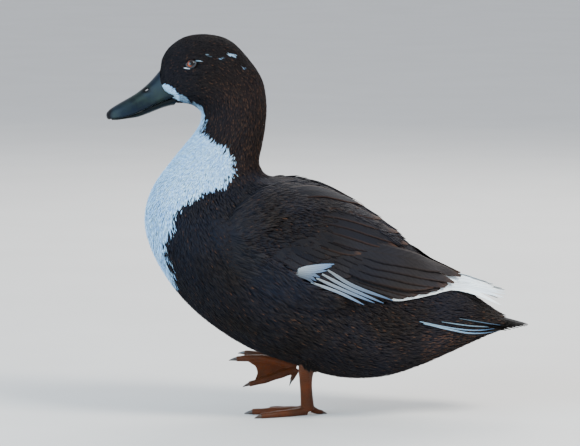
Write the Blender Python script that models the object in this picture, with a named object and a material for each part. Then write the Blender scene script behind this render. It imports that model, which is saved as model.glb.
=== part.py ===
"""Black Swedish duck as a still, life-size model.

The bird stands on its left foot and carries the right one lifted under the belly, as in mid step.
Its bill points to -X, its tail to +X, and its left side is towards -Y. The floor is z = 0.
Lengths here are in millimetres, and MM turns them into metres as each mesh is made.
"""

import math

import bmesh
import bpy
import numpy as np

MM = 0.001
GAP = 0.3
MERGE = 0.002
SIDES = (("left", -1.0), ("right", 1.0))

# Cross-sections of head, neck, torso and rump, from the face to the tail, each a flat slice:
# dorsal x, dorsal z, ventral x, ventral z, half width, fullness (2 is an ellipse), shift of the widest place
SECTIONS = np.array([
    (-170.0, 337.7, -155.0, 310.5, 12.5, 2.3, -0.10),
    (-158.5, 345.8, -145.0, 313.1, 15.5, 2.3, -0.12),
    (-155.5, 358.8, -139.0, 313.6, 18.5, 2.3, -0.15),
    (-147.0, 371.3, -132.0, 313.1, 21.5, 2.3, -0.15),
    (-131.0, 380.9, -125.5, 311.6, 23.5, 2.3, -0.15),
    (-109.0, 382.9, -120.0, 308.0, 24.8, 2.3, -0.12),
    (-87.0, 376.4, -117.0, 304.0, 25.2, 2.2, -0.08),
    (-68.0, 357.3, -117.0, 298.5, 25.5, 2.1, 0.0),
    (-55.0, 336.7, -119.0, 292.0, 26.0, 2.1, 0.0),
    (-51.0, 313.6, -124.5, 283.0, 27.5, 2.1, 0.0),
    (-52.0, 293.5, -133.5, 271.9, 30.0, 2.1, 0.0),
    (-55.5, 272.4, -148.0, 253.8, 35.5, 2.1, 0.0),
    (-59.0, 257.3, -161.0, 236.2, 44.0, 2.1, 0.0),
    (-57.5, 249.2, -169.5, 218.1, 55.0, 2.15, 0.0),
    (-53.5, 242.7, -173.0, 198.0, 64.5, 2.2, 0.0),
    (-46.5, 239.2, -169.5, 176.9, 71.5, 2.2, 0.0),
    (-35.0, 238.2, -158.0, 150.8, 76.0, 2.25, -0.03),
    (-18.0, 236.0, -135.0, 118.6, 79.0, 2.3, -0.05),
    (3.0, 229.0, -104.0, 91.0, 79.0, 2.3, -0.05),
    (29.0, 215.2, -66.0, 67.8, 77.0, 2.3, -0.05),
    (57.0, 197.0, -23.0, 52.3, 73.0, 2.3, -0.05),
    (84.0, 175.8, 20.0, 39.7, 67.0, 2.25, -0.05),
    (109.0, 154.5, 63.0, 39.7, 58.0, 2.2, -0.05),
    (131.0, 136.5, 100.0, 50.3, 47.5, 2.15, -0.05),
    (151.0, 124.5, 133.0, 64.3, 37.5, 2.1, 0.0),
    (166.0, 114.0, 160.0, 76.9, 29.5, 2.1, 0.0),
    (181.0, 103.5, 182.0, 86.0, 23.0, 2.0, 0.0),
    (198.0, 95.5, 198.0, 90.5, 11.0, 2.0, 0.0),
])
HEAD_START, HEAD_END, NECK_END, TORSO_END, RUMP_END = 0.0, 8.0, 13.5, 23.0, 27.0
ROUND_STEPS = 36

# Soft forms of the head, each x, z, radius, and how far the surface moves out
HEAD_FORMS = (
    ("lore hollow", -145.0, 345.0, 9.0, -1.6),
    ("brow", -126.0, 364.0, 9.0, 1.2),
    ("cheek", -116.0, 332.0, 20.0, 1.6),
    ("eye pit", -127.5, 357.5, 7.0, -1.2),
)

# Where feathers give way to bill, in side view from the forehead to the chin
BILL_EDGE = (
    (-159.5, 352.0), (-159.0, 344.5), (-158.3, 337.5), (-156.8, 331.5), (-154.0, 327.3),
    (-150.3, 324.6), (-146.2, 323.3), (-142.0, 322.4), (-141.5, 317.0), (-144.5, 312.5), (-148.0, 306.0),
)

# Upper half of the bill from nail to base: culmen x, culmen z, mouth line x, mouth line z, half width
UPPER_BILL = np.array([
    (-210.6, 304.0, -209.5, 298.8, 4.2),
    (-208.0, 307.2, -206.5, 298.5, 7.2),
    (-203.5, 310.4, -201.5, 298.9, 9.6),
    (-197.0, 314.3, -194.5, 300.2, 11.0),
    (-189.0, 318.8, -185.5, 302.6, 11.3),
    (-181.0, 323.7, -177.0, 306.3, 11.2),
    (-173.0, 330.0, -168.5, 310.2, 11.6),
    (-165.5, 337.2, -161.0, 313.8, 12.6),
    (-158.0, 346.0, -152.5, 317.6, 15.0),
    (-151.0, 354.5, -143.0, 321.2, 17.0),
])
# Lower half of the bill: mouth line x, mouth line z, underside x, underside z, half width
LOWER_BILL = np.array([
    (-206.0, 298.2, -205.6, 296.9, 5.2),
    (-200.5, 298.6, -199.8, 297.0, 7.8),
    (-192.0, 300.3, -190.5, 298.2, 9.3),
    (-182.0, 303.4, -179.5, 300.0, 9.6),
    (-172.0, 308.0, -169.0, 303.6, 10.0),
    (-161.0, 313.2, -158.5, 307.8, 11.2),
    (-150.0, 317.8, -148.5, 311.0, 12.6),
    (-139.0, 321.4, -138.5, 312.5, 13.6),
])
# Hard nail at the bill's tip: x, z, half length, half width, half height
NAIL = (-208.3, 301.4, 3.2, 4.6, 4.4)
# Slot of the nostrils: x, z, half length, half height, how far it is cut to both sides, and its slope
NOSTRIL = (-170.6, 327.0, 3.4, 1.3, 32.0)
NOSTRIL_SLOPE = -38.0

# Place of the eyes in side view, their radius, how deep their centres lie, and the way the right one looks
EYE_PLACE = (-125.6, 354.4)
EYE_BALL = 6.2
EYE_DEPTH = 4.4
EYE_LOOK = (-0.16, 0.975, 0.15)
LID_LENGTH, LID_HEIGHT, LID_THICK = 4.9, 4.0, 1.0
LID_TILT = 8.0


def spline(rows, t):
    """Smooth curve through the rows at the places t, with a row at each whole number."""
    rows = np.asarray(rows, float)
    last = len(rows) - 1
    t = np.clip(np.atleast_1d(np.asarray(t, float)), 0.0, last)
    i = np.minimum(t.astype(int), last - 1)
    f = (t - i)[:, None]
    here, there = rows[i], rows[i + 1]
    before = np.where((i > 0)[:, None], rows[np.maximum(i - 1, 0)], 2 * here - there)
    after = np.where((i + 2 <= last)[:, None], rows[np.minimum(i + 2, last)], 2 * there - here)
    return 0.5 * (2 * here + (there - before) * f
                  + (2 * before - 5 * here + 4 * there - after) * f ** 2
                  + (3 * here - before - 3 * there + after) * f ** 3)


def body_points(t, theta, grow=0.0):
    """Points of the body's surface. theta runs from the back, 0, down the right side to the belly, pi."""
    t, theta = np.broadcast_arrays(np.asarray(t, float), np.asarray(theta, float))
    row = spline(SECTIONS, t.ravel())
    dorsal, ventral = row[:, 0:2], row[:, 2:4]
    half = (dorsal - ventral) / 2
    length = np.linalg.norm(half, axis=1, keepdims=True)
    power = 2.0 / row[:, 5]
    c, s = np.cos(theta.ravel()), np.sin(theta.ravel())
    up = np.sign(c) * np.abs(c) ** power
    out = np.sign(s) * np.abs(s) ** power
    up = up + row[:, 6] * (1 - up ** 2)
    centre = (dorsal + ventral) / 2 + half / length * (length + grow) * up[:, None]
    y = (row[:, 4] + grow) * out
    y = y + np.sign(y) * np.minimum(1.0, np.abs(out) * 2) * head_forms(centre)
    return np.stack([centre[:, 0], y, centre[:, 1]], axis=1).reshape(t.shape + (3,))


def head_forms(side_view):
    """How far the soft forms move the head's surface out, at places seen from the side."""
    moved = np.zeros(len(side_view))
    for _, x, z, radius, amount in HEAD_FORMS:
        away = np.hypot(side_view[:, 0] - x, side_view[:, 1] - z) / radius
        moved += amount * np.exp(-away ** 2)
    return moved


def body_frame(t, theta, lift=0.0):
    """A point at that lift over the body, and the outward normal there."""
    step = 1e-3
    here = body_points(t, theta)
    along = body_points(t + step, theta) - body_points(t - step, theta)
    around = body_points(t, theta + step) - body_points(t, theta - step)
    normal = np.cross(around, along)
    normal = normal / np.linalg.norm(normal, axis=-1, keepdims=True)
    middle = spline(SECTIONS, np.ravel(t))
    centre = np.array([(middle[0, 0] + middle[0, 2]) / 2, 0.0, (middle[0, 1] + middle[0, 3]) / 2])
    if np.dot(normal, here - centre) < 0:
        normal = -normal
    return here + lift * normal, normal


def locate(x, z):
    """The (t, theta) at which the body's right side shows the place x, z in side view."""
    def across(t):
        row = spline(SECTIONS, t)[0]
        return (row[2] - row[0]) * (z - row[1]) - (row[3] - row[1]) * (x - row[0])

    low, high = NECK_END - 3, RUMP_END
    sign = across(low) > 0
    for _ in range(40):
        t = (low + high) / 2
        if (across(t) > 0) == sign:
            low = t
        else:
            high = t
    row = spline(SECTIONS, t)[0]
    half = (row[0:2] - row[2:4]) / 2
    up = np.dot(np.array([x, z]) - (row[0:2] + row[2:4]) / 2, half) / np.dot(half, half)
    shift = row[6]
    if abs(shift) > 1e-6:
        up = (1 - math.sqrt(max(0.0, 1 - 4 * shift * (up - shift)))) / (2 * shift)
    up = float(np.clip(up, -0.999, 0.999))
    return t, math.acos(math.copysign(abs(up) ** (row[5] / 2), up))


def mirrored(points, side):
    """Points of the right side moved to the side asked for."""
    return np.asarray(points, float) * np.array([1.0, side, 1.0])


def new_object(name, points, faces):
    """A mesh object in metres from points in millimetres."""
    mesh = bpy.data.meshes.new(name)
    mesh.from_pydata([tuple(float(v) * MM for v in p) for p in points], [], [tuple(f) for f in faces])
    mesh.validate()
    obj = bpy.data.objects.new(name, mesh)
    bpy.context.scene.collection.objects.link(obj)
    return obj


def rings_object(name, rings, turned=()):
    """A closed tube through rings of equally many points, with flat ends, facing out.

    The strips listed in turned are split along their other diagonal."""
    rings = np.asarray(rings, float)
    count, around = rings.shape[:2]
    faces = []
    for i in range(count - 1):
        for j in range(around):
            a, b = i * around + j, i * around + (j + 1) % around
            if j in turned:
                faces += [(a, b, a + around), (b, b + around, a + around)]
            else:
                faces += [(a, b, b + around), (a, b + around, a + around)]
    faces.append(tuple(range(around))[::-1])
    faces.append(tuple((count - 1) * around + j for j in range(around)))
    obj = new_object(name, rings.reshape(-1, 3), faces)
    face_out(obj)
    return obj


def face_out(obj):
    """Turns the faces outwards."""
    mesh = bmesh.new()
    mesh.from_mesh(obj.data)
    bmesh.ops.recalc_face_normals(mesh, faces=mesh.faces)
    if mesh.calc_volume(signed=True) < 0:
        bmesh.ops.reverse_faces(mesh, faces=mesh.faces)
    mesh.to_mesh(obj.data)
    mesh.free()


def body_part(name, start, end, steps, grow=0.0, front_gap=GAP / 2, back_gap=GAP / 2, around=ROUND_STEPS):
    """The slice of the body between two sections, its flat ends drawn in by half a gap."""
    theta = np.linspace(0, 2 * math.pi, around, endpoint=False)
    rings = [body_points(np.full(around, t), theta, grow) for t in np.linspace(start, end, steps)]
    for ring, inwards, gap in ((rings[0], rings[1], front_gap), (rings[-1], rings[-2], back_gap)):
        normal = np.cross(ring[around // 4] - ring[0], ring[around // 2] - ring[0])
        normal /= np.linalg.norm(normal)
        if np.dot(normal, inwards.mean(axis=0) - ring.mean(axis=0)) < 0:
            normal = -normal
        ring += normal * gap
    return rings_object(name, rings)


def apply_modifiers(obj):
    """Replaces the object's mesh by what its modifiers make of it."""
    graph = bpy.context.evaluated_depsgraph_get()
    made = bpy.data.meshes.new_from_object(obj.evaluated_get(graph))
    old = obj.data
    obj.modifiers.clear()
    obj.data = made
    made.name = obj.name
    bpy.data.meshes.remove(old)


def combine(obj, others, operation, solver="EXACT"):
    """Joins the others to obj, or cuts them from it, in one Boolean, and removes them."""
    group = bpy.data.collections.new(obj.name + "_pieces")
    bpy.context.scene.collection.children.link(group)
    for other in others:
        bpy.context.scene.collection.objects.unlink(other)
        group.objects.link(other)
    modifier = obj.modifiers.new("combine", "BOOLEAN")
    modifier.operation = operation
    modifier.operand_type = "COLLECTION"
    modifier.collection = group
    modifier.solver = solver
    apply_modifiers(obj)
    for other in list(group.objects):
        bpy.data.objects.remove(other)
    bpy.data.collections.remove(group)
    keep_largest(obj)


def keep_largest(obj):
    """Joins points that all but coincide, and drops every closed surface but the largest one."""
    mesh = bmesh.new()
    mesh.from_mesh(obj.data)
    bmesh.ops.remove_doubles(mesh, verts=mesh.verts, dist=MERGE * MM)
    unseen, bodies = set(mesh.verts), []
    while unseen:
        stack = [unseen.pop()]
        body = set(stack)
        while stack:
            for edge in stack.pop().link_edges:
                for vert in edge.verts:
                    if vert in unseen:
                        unseen.remove(vert)
                        body.add(vert)
                        stack.append(vert)
        bodies.append(body)

    def size(body):
        spread = np.array([v.co for v in body])
        return float(np.prod(np.ptp(spread, axis=0) + 1e-6))

    bodies.sort(key=size)
    bmesh.ops.delete(mesh, geom=[v for body in bodies[:-1] for v in body], context="VERTS")
    mesh.to_mesh(obj.data)
    mesh.free()


def prism(name, outline, half_depth, middle=0.0):
    """A side-view outline pushed out to both sides of the plane y = middle."""
    count = len(outline)
    points = [(x, y, z) for y in (middle - half_depth, middle + half_depth) for x, z in outline]
    faces = [tuple(range(count))[::-1], tuple(range(count, 2 * count))]
    faces += [(i, (i + 1) % count, count + (i + 1) % count, count + i) for i in range(count)]
    obj = new_object(name, points, faces)
    face_out(obj)
    return obj


def ellipsoid(name, centre, radii, around=16, rows=10):
    """A closed ball with that centre and those radii."""
    points = [(0, 0, radii[2])]
    for i in range(1, rows):
        polar = math.pi * i / rows
        for j in range(around):
            turn = 2 * math.pi * j / around
            points.append((radii[0] * math.sin(polar) * math.cos(turn),
                           radii[1] * math.sin(polar) * math.sin(turn), radii[2] * math.cos(polar)))
    points.append((0, 0, -radii[2]))
    faces = [(0, 1 + j, 1 + (j + 1) % around) for j in range(around)]
    for i in range(rows - 2):
        for j in range(around):
            a, b = 1 + i * around + j, 1 + i * around + (j + 1) % around
            faces += [(a, a + around, b + around), (a, b + around, b)]
    base, last = 1 + (rows - 2) * around, len(points) - 1
    faces += [(base + j, last, base + (j + 1) % around) for j in range(around)]
    obj = new_object(name, np.array(points) + np.asarray(centre, float), faces)
    face_out(obj)
    return obj


def paint(obj, colour, roughness):
    """Gives the object its own material."""
    material = bpy.data.materials.new(obj.name)
    material.use_nodes = True
    shader = material.node_tree.nodes["Principled BSDF"]
    shader.inputs["Base Color"].default_value = (*colour, 1.0)
    shader.inputs["Roughness"].default_value = roughness
    material.diffuse_color = (*colour, 1.0)
    obj.data.materials.clear()
    obj.data.materials.append(material)
    obj.data.shade_smooth()
    obj.data.set_sharp_from_angle(angle=math.radians(40))
    return obj


BLACK = (0.012, 0.011, 0.012)
DARK_BROWN = (0.022, 0.014, 0.010)
WING_BLACK = (0.016, 0.013, 0.012)
SLATE = (0.020, 0.028, 0.034)
LEG_ORANGE = (0.45, 0.13, 0.035)
CLAW_BROWN = (0.05, 0.028, 0.02)
EYE_BROWN = (0.16, 0.035, 0.012)


def shifted_edge(offset):
    """The bill's feather line moved by that much towards the nape."""
    return [(x + offset, z) for x, z in BILL_EDGE]


def socket_frame(side):
    """Centre of an eyeball and the outward direction there."""
    t, theta = locate_head(*EYE_PLACE)
    point = body_points(t, theta * side)
    normal = mirrored(EYE_LOOK, side)
    normal /= np.linalg.norm(normal)
    return point - normal * EYE_DEPTH, normal


def locate_head(x, z):
    """The (t, theta) of a place on the head, found on a fine grid."""
    t, theta = np.meshgrid(np.linspace(1, 8, 141), np.linspace(0.05, math.pi - 0.05, 121), indexing="ij")
    points = body_points(t, theta)
    nearest = np.argmin(np.hypot(points[..., 0] - x, points[..., 2] - z))
    return t.ravel()[nearest], theta.ravel()[nearest]


def lid(name, side):
    """A raised rim around one eye, an oval ring bent with the head."""
    centre, normal = socket_frame(side)
    tilt = math.radians(LID_TILT)
    forward = np.array([-math.cos(tilt), 0.0, -math.sin(tilt)])
    forward -= normal * np.dot(forward, normal)
    forward /= np.linalg.norm(forward)
    upward = np.cross(forward, normal) * side
    if upward[2] < 0:
        upward = -upward
    around, tube = 16, 5
    rings = []
    for i in range(around):
        turn = 2 * math.pi * i / around
        spot = centre + normal * (EYE_DEPTH - 0.1) + forward * LID_LENGTH * math.cos(turn) \
            + upward * LID_HEIGHT * math.sin(turn)
        away = forward * math.cos(turn) + upward * math.sin(turn)
        rings.append([spot + LID_THICK * (math.cos(a) * away + math.sin(a) * 0.8 * normal)
                      for a in np.linspace(0, 2 * math.pi, tube, endpoint=False)])
    points = np.array(rings).reshape(-1, 3)
    faces = []
    for i in range(around):
        for j in range(tube):
            a, b = i * tube + j, i * tube + (j + 1) % tube
            c, d = (i + 1) % around * tube + (j + 1) % tube, (i + 1) % around * tube + j
            faces += [(a, b, c), (a, c, d)]
    obj = new_object(name, points, faces)
    face_out(obj)
    return obj


def make_head():
    """Head with its lids and eye sockets, cut along the bill's feather line."""
    head = body_part("head", HEAD_START, HEAD_END, 17, front_gap=0.0, around=34)
    combine(head, [lid("lid_" + name, side) for name, side in SIDES], "UNION")
    beyond = shifted_edge(GAP / 2) + [(-260.0, 306.0), (-260.0, 352.0)]
    cutters = [prism("bill_zone", beyond, 60.0)]
    for name, side in SIDES:
        centre, normal = socket_frame(side)
        ball = EYE_BALL + GAP
        cutters.append(ellipsoid("socket_" + name, centre, (ball, ball, ball), 16, 10))
    for cutter in cutters:
        combine(head, [cutter], "DIFFERENCE")
    return paint(head, BLACK, 0.55)


def make_eyes():
    """Two eyeballs set into the head."""
    for name, side in SIDES:
        centre, _ = socket_frame(side)
        paint(ellipsoid("eye_" + name, centre, (EYE_BALL,) * 3, 12, 8), EYE_BROWN, 0.05)


def bill_rings(rows, steps, around, top):
    """Rings of one half of the bill: a dome over the mouth line, or a keel under it."""
    rings = []
    for t in np.linspace(0, len(rows) - 1, steps):
        first_x, first_z, second_x, second_z, width = spline(rows, t)[0]
        ridge = np.array([first_x, first_z]) if top else np.array([second_x, second_z])
        mouth = np.array([second_x, second_z]) if top else np.array([first_x, first_z])
        ring = []
        for turn in np.linspace(-math.pi / 2, math.pi / 2, around):
            spot = mouth + (ridge - mouth) * abs(math.cos(turn)) ** 0.75
            ring.append((spot[0], width * math.copysign(abs(math.sin(turn)) ** 0.8, turn), spot[1]))
        hollow = mouth + (ridge - mouth) * 0.08
        for share in (0.55, 0.0, -0.55):
            ring.append((hollow[0], width * share, hollow[1]))
        rings.append(ring)
    return rings


def make_bill():
    """Upper bill with its nail and open nostrils, and the lower bill under it."""
    behind = shifted_edge(-GAP / 2) + [(-100.0, 306.0), (-100.0, 352.0)]
    upper = rings_object("bill_upper", bill_rings(UPPER_BILL, 15, 11, True))
    x, z, long, high, wide = NAIL
    combine(upper, [ellipsoid("nail", (x, 0.0, z), (long, wide, high), 12, 8)], "UNION")
    x, z, long, high, deep = NOSTRIL
    slope = math.radians(NOSTRIL_SLOPE)
    turns = np.linspace(0, 2 * math.pi, 10, endpoint=False)
    slot = [(x + long * math.cos(a) * math.cos(slope) + high * math.sin(a) * math.sin(slope),
             z - long * math.cos(a) * math.sin(slope) + high * math.sin(a) * math.cos(slope)) for a in turns]
    for cutter in (prism("nostrils", slot, deep), prism("head_zone", behind, 60.0)):
        combine(upper, [cutter], "DIFFERENCE")
    paint(upper, SLATE, 0.35)
    lower = rings_object("bill_lower", bill_rings(LOWER_BILL, 12, 7, False))
    clear = np.array([(row[2], row[3] - GAP) for row in UPPER_BILL])
    palate = [tuple(p) for p in spline(clear, np.linspace(1, len(clear) - 1, 20))]
    over = palate + [(-120.0, 345.0), (-225.0, 345.0), (-225.0, 298.2)]
    for cutter in (prism("head_zone", behind, 60.0), prism("palate", over, 40.0)):
        combine(lower, [cutter], "DIFFERENCE")
    paint(lower, SLATE, 0.4)


# A feather's thickness at the shaft, how far its edges droop, how broad its root is against its middle,
# and the two strips of its underside, split like the two above them
VANE_THICK = 0.7
VANE_CAMBER = 0.8
VANE_ROOT = 0.45
UNDER_STRIPS = (4, 5)
# Where along a feather its root has widened to the full width, and where its tip starts to narrow
VANE_FULL, VANE_NARROWING = 0.3, 0.68


def vane(name, path, normals, half_width, tip, steps, camber=VANE_CAMBER, twist=0.0):
    """One feather: a thin closed blade along the path, with a raised shaft and drooping edges."""
    path, normals = np.asarray(path, float), np.asarray(normals, float)
    places = np.linspace(0, len(path) - 1, steps + 1)
    spine = spline(path, places)
    ups = spline(normals, places)
    rings = []
    for i, share in enumerate(np.linspace(0, 1, steps + 1)):
        ahead = spine[min(i + 1, steps)] - spine[max(i - 1, 0)]
        ahead /= np.linalg.norm(ahead)
        up = ups[i] - ahead * np.dot(ups[i], ahead)
        up /= np.linalg.norm(up)
        side = np.cross(ahead, up)
        turn = math.radians(twist)
        up, side = up * math.cos(turn) - side * math.sin(turn), side * math.cos(turn) + up * math.sin(turn)
        if share < VANE_FULL:
            spread = VANE_ROOT + (1 - VANE_ROOT) * math.sin(share / VANE_FULL * math.pi / 2)
        elif share > VANE_NARROWING:
            ended = (share - VANE_NARROWING) / (1 - VANE_NARROWING)
            spread = tip + (1 - tip) * math.sqrt(max(0.0, 1 - ended ** 2))
        else:
            spread = 1.0
        width = half_width * spread
        drop = camber * spread ** 2
        edge = VANE_THICK * 0.75
        left, right = spine[i] + side * width - up * drop, spine[i] - side * width - up * drop
        under = spine[i] - up * VANE_THICK
        rings.append([left - up * edge, left, spine[i], right, right - up * edge, under])
    return rings_object(name, rings, turned=UNDER_STRIPS)


# Fall of the line of sight in the view that the wing's outlines are drawn in
VIEW_SLOPE = 0.11
# Folded wing in side view, from the bend of the wing to its tip: upper edge and lower edge
WING_UPPER = np.array([(-84.0, 190.0), (-66.0, 207.0), (-40.0, 219.0), (-8.0, 221.0), (24.0, 210.0),
                       (56.0, 193.0), (88.0, 168.0), (118.0, 149.0), (142.0, 141.0), (186.0, 129.0)])
WING_LOWER = np.array([(-84.0, 184.0), (-74.0, 173.0), (-52.0, 159.0), (-22.0, 145.0), (14.0, 130.0),
                       (52.0, 118.0), (86.0, 116.0), (112.0, 122.0), (146.0, 126.0), (183.0, 114.0)])
# The wing follows the body up to the first x and lies on a roof over the rump from the second
BODY_END, ROOF_START = 100.0, 140.0
# Half the roof's width at its ridge, how it widens with each millimetre down, and the way it faces
ROOF_RIDGE, ROOF_FALL = 5.0, 1.1
ROOF_FACING = np.array([0.0, 0.67, 0.74])
PAD_REACH = 0.62
PAD_THICK = 5.0
# Room under a wing, wider than the usual gap as this cut is made with a coarser body
WING_GAP = 1.2
# Sideways turn of each feather that lets the upper neighbour cover its edge, rise from one to the next,
# and how far a tip may stray
SHINGLE_TILT = 6.0
LAYER_STEP = 0.22
VANE_JITTER = 0.8
# Share of its length over which a wing feather rises to the height of its tip
VANE_RISE = 0.4
# Feather tiers of a folded wing in side view, each from its lowest feather to its highest: where roots,
# middles and tips lie, half widths, height over the body at root and tip, and how broad the end is
WING_TIERS = (
    dict(name="primary", steps=4, count=4, root=((18, 142), (30, 154)), via=((84, 124.0), (98, 134.5)),
         tip=((182, 114), (187, 123.5), (172, 128.5), (157, 134)), half=(6.5, 8.0), lift=(2.6, 3.2),
         end=0.2),
    dict(name="secondary", steps=3, count=4, root=((0, 146), (30, 158)), via=((34, 130), (74, 141)),
         tip=((62, 120), (118, 128)), half=(10.0, 11.0), lift=(3.0, 3.4), end=0.45),
    dict(name="tertial", steps=4, count=3, root=((22, 150), (34, 168)), via=((74, 134), (90, 154)),
         tip=((121, 129), (135, 133.5), (143, 141)), half=(10.0, 13.0), lift=(4.0, 5.4), end=0.3),
    dict(name="covert", steps=3, count=5, root=((-46, 170), (6, 176)), via=((-20, 152), (38, 161)),
         tip=((6, 139), (72, 149)), half=(10.0, 11.5), lift=(3.6, 5.0), end=0.5),
    dict(name="scapular", steps=4, count=5, root=((-20, 182), (-18, 204), (-36, 213)),
         via=((16, 173), (34, 191), (4, 213)), tip=((48, 160), (86, 168), (40, 199)), half=(11.0, 13.0),
         lift=(4.4, 6.0), end=0.3),
    dict(name="alula", steps=3, count=2, root=((-24, 147), (-22, 155)), via=((10, 131), (-4, 151)),
         tip=((42, 118.5), (24, 131), (15, 151)), half=(4.0, 5.5), lift=(3.6, 4.4), end=0.3),
)


def roof_y(x, z):
    """How far from the middle the folded wing tip lies behind the body, at a place seen from the side."""
    ridge = np.interp(x, WING_UPPER[:, 0], WING_UPPER[:, 1])
    return ROOF_RIDGE + ROOF_FALL * max(0.0, ridge - z)


def wing_spot(x, z, lift):
    """A point of the right wing that far over the body, and beyond the body on a roof over the rump.

    The wing's outlines are drawn as seen from a little above, so its sides lie higher than drawn."""
    t, theta = locate(x, z)
    for _ in range(3):
        t, theta = locate(x, z + VIEW_SLOPE * float(body_points(t, theta)[1]))
    spot, normal = body_frame(np.array(t), np.array(theta), lift)
    away = float(np.clip((x - BODY_END) / (ROOF_START - BODY_END), 0.0, 1.0))
    away = away * away * (3 - 2 * away)
    free = np.array([x, roof_y(x, z), z]) + lift * ROOF_FACING
    return spot * (1 - away) + free * away, normal


def sheet(name, inner, outer):
    """A closed body between two grids of points."""
    inner, outer = np.asarray(inner, float), np.asarray(outer, float)
    rows, columns = inner.shape[:2]
    points = np.concatenate([inner.reshape(-1, 3), outer.reshape(-1, 3)])
    base = rows * columns
    faces = []
    for i in range(rows - 1):
        for j in range(columns - 1):
            a, b = i * columns + j, i * columns + j + 1
            c, d = b + columns, a + columns
            faces += [(a, b, c), (a, c, d), (base + a, base + c, base + b), (base + a, base + d, base + c)]
    rim = [i * columns for i in range(rows)] + [(rows - 1) * columns + j for j in range(1, columns)]
    rim += [i * columns + columns - 1 for i in range(rows - 2, -1, -1)] + list(range(columns - 2, 0, -1))
    for a, b in zip(rim, rim[1:] + rim[:1]):
        faces += [(a, b, base + b), (a, base + b, base + a)]
    obj = new_object(name, points, faces)
    face_out(obj)
    return obj


def wing_pad(name, side):
    """The smooth front of a folded wing, in which its feathers are rooted."""
    inner, outer = [], []
    for along in np.linspace(0, PAD_REACH, 11):
        upper = spline(WING_UPPER, along * (len(WING_UPPER) - 1))[0]
        lower = spline(WING_LOWER, along * (len(WING_LOWER) - 1))[0]
        low_row, high_row = [], []
        for across in np.linspace(0, 1, 7):
            x, z = upper + (lower - upper) * across
            round_off = 1 - (2 * across - 1) ** 4
            fade = min(1.0, along / 0.15) ** 0.5 * min(1.0, (PAD_REACH - along) / 0.2 + 0.35)
            low_row.append(wing_spot(x, z, -1.5)[0])
            high_row.append(wing_spot(x, z, 0.6 + PAD_THICK * fade * round_off)[0])
        inner.append(low_row)
        outer.append(high_row)
    return sheet(name, mirrored(inner, side), mirrored(outer, side))


def tier_vanes(tier, side, rng):
    """The feathers of one tier of a folded wing, each above and partly over the one below it."""
    made = []
    count = tier["count"]
    for i, share in enumerate(np.linspace(0, 1, count)):
        spots = [spline(tier[key], share * (len(tier[key]) - 1))[0] for key in ("root", "via", "tip")]
        spots[2] = spots[2] + rng.uniform(-VANE_JITTER, VANE_JITTER, 2)
        half = tier["half"][0] + (tier["half"][1] - tier["half"][0]) * share
        path, normals = [], []
        for along in np.linspace(0, 1, 5):
            curve = ((1 - along) ** 2, 2 * along * (1 - along), along ** 2)
            bend = 2 * spots[1] - (spots[0] + spots[2]) / 2
            x, z = curve[0] * spots[0] + curve[1] * bend + curve[2] * spots[2]
            risen = min(1.0, along / VANE_RISE)
            lift = tier["lift"][0] + (tier["lift"][1] - tier["lift"][0]) * risen + LAYER_STEP * i
            spot, normal = wing_spot(x, z, lift)
            path.append(spot)
            normals.append(normal)
        made.append(vane(tier["name"], mirrored(path, side), mirrored(normals, side), half,
                         tier["end"], tier["steps"], twist=-side * SHINGLE_TILT))
    return made


def make_wings():
    """The folded left wing, a smooth front with tiers of feathers rooted in it, and its mirror image."""
    rng = np.random.default_rng(7)
    side = -1.0
    wing = wing_pad("wing_left", side)
    feathers = [feather for tier in WING_TIERS for feather in tier_vanes(tier, side, rng)]
    combine(wing, feathers, "UNION", "MANIFOLD")
    clear_torso = body_part("clear_torso", NECK_END - 1, RUMP_END, 16, grow=WING_GAP, around=24)
    combine(wing, [clear_torso], "DIFFERENCE", "MANIFOLD")
    other_side = [(-100.0, 50.0), (250.0, 50.0), (250.0, 300.0), (-100.0, 300.0)]
    other_wing = prism("other_side", other_side, 60.0, side * (GAP - 60.0))
    combine(wing, [other_wing], "DIFFERENCE", "MANIFOLD")
    points = [(vertex.co.x / MM, -vertex.co.y / MM, vertex.co.z / MM) for vertex in wing.data.vertices]
    faces = [tuple(face.vertices)[::-1] for face in wing.data.polygons]
    for each in (wing, new_object("wing_right", points, faces)):
        paint(each, WING_BLACK, 0.5)


# Tail feathers: from the middle pair to the outermost, where roots and tips lie (x, y, z)
TAIL_ROOTS = ((140.0, 3.0, 107.0), (146.0, 20.0, 99.0))
TAIL_TIPS = ((211.5, 4.0, 92.0), (208.0, 14.0, 92.5), (200.0, 24.0, 92.5), (189.0, 31.0, 92.0))
# Half widths and sideways lean from the middle pair to the outermost, how far each pair lies under the last,
# the rise of a feather's middle, and how much its surface faces backwards
TAIL_PAIRS = 5
TAIL_HALF = (9.0, 7.5)
TAIL_LEAN = 10.0
TAIL_STEP = 0.9
TAIL_BOW = 1.8
TAIL_CAMBER = 0.5
TAIL_FACING = 0.25
# Rows of small feathers over and under the root of the tail: angles from the back, places along the body,
# how far the tips reach past the rump, how much they rise, half width
COVERT_ROOT = 1.5
TAIL_COVERTS = (
    dict(name="over", count=4, angles=(-54.0, 54.0), along=(23.6, 25.4), reach=14.0, lift=2.2, half=9.0),
    dict(name="under", count=4, angles=(126.0, 234.0), along=(23.6, 25.3), reach=20.0, lift=2.4, half=9.5),
)


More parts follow.
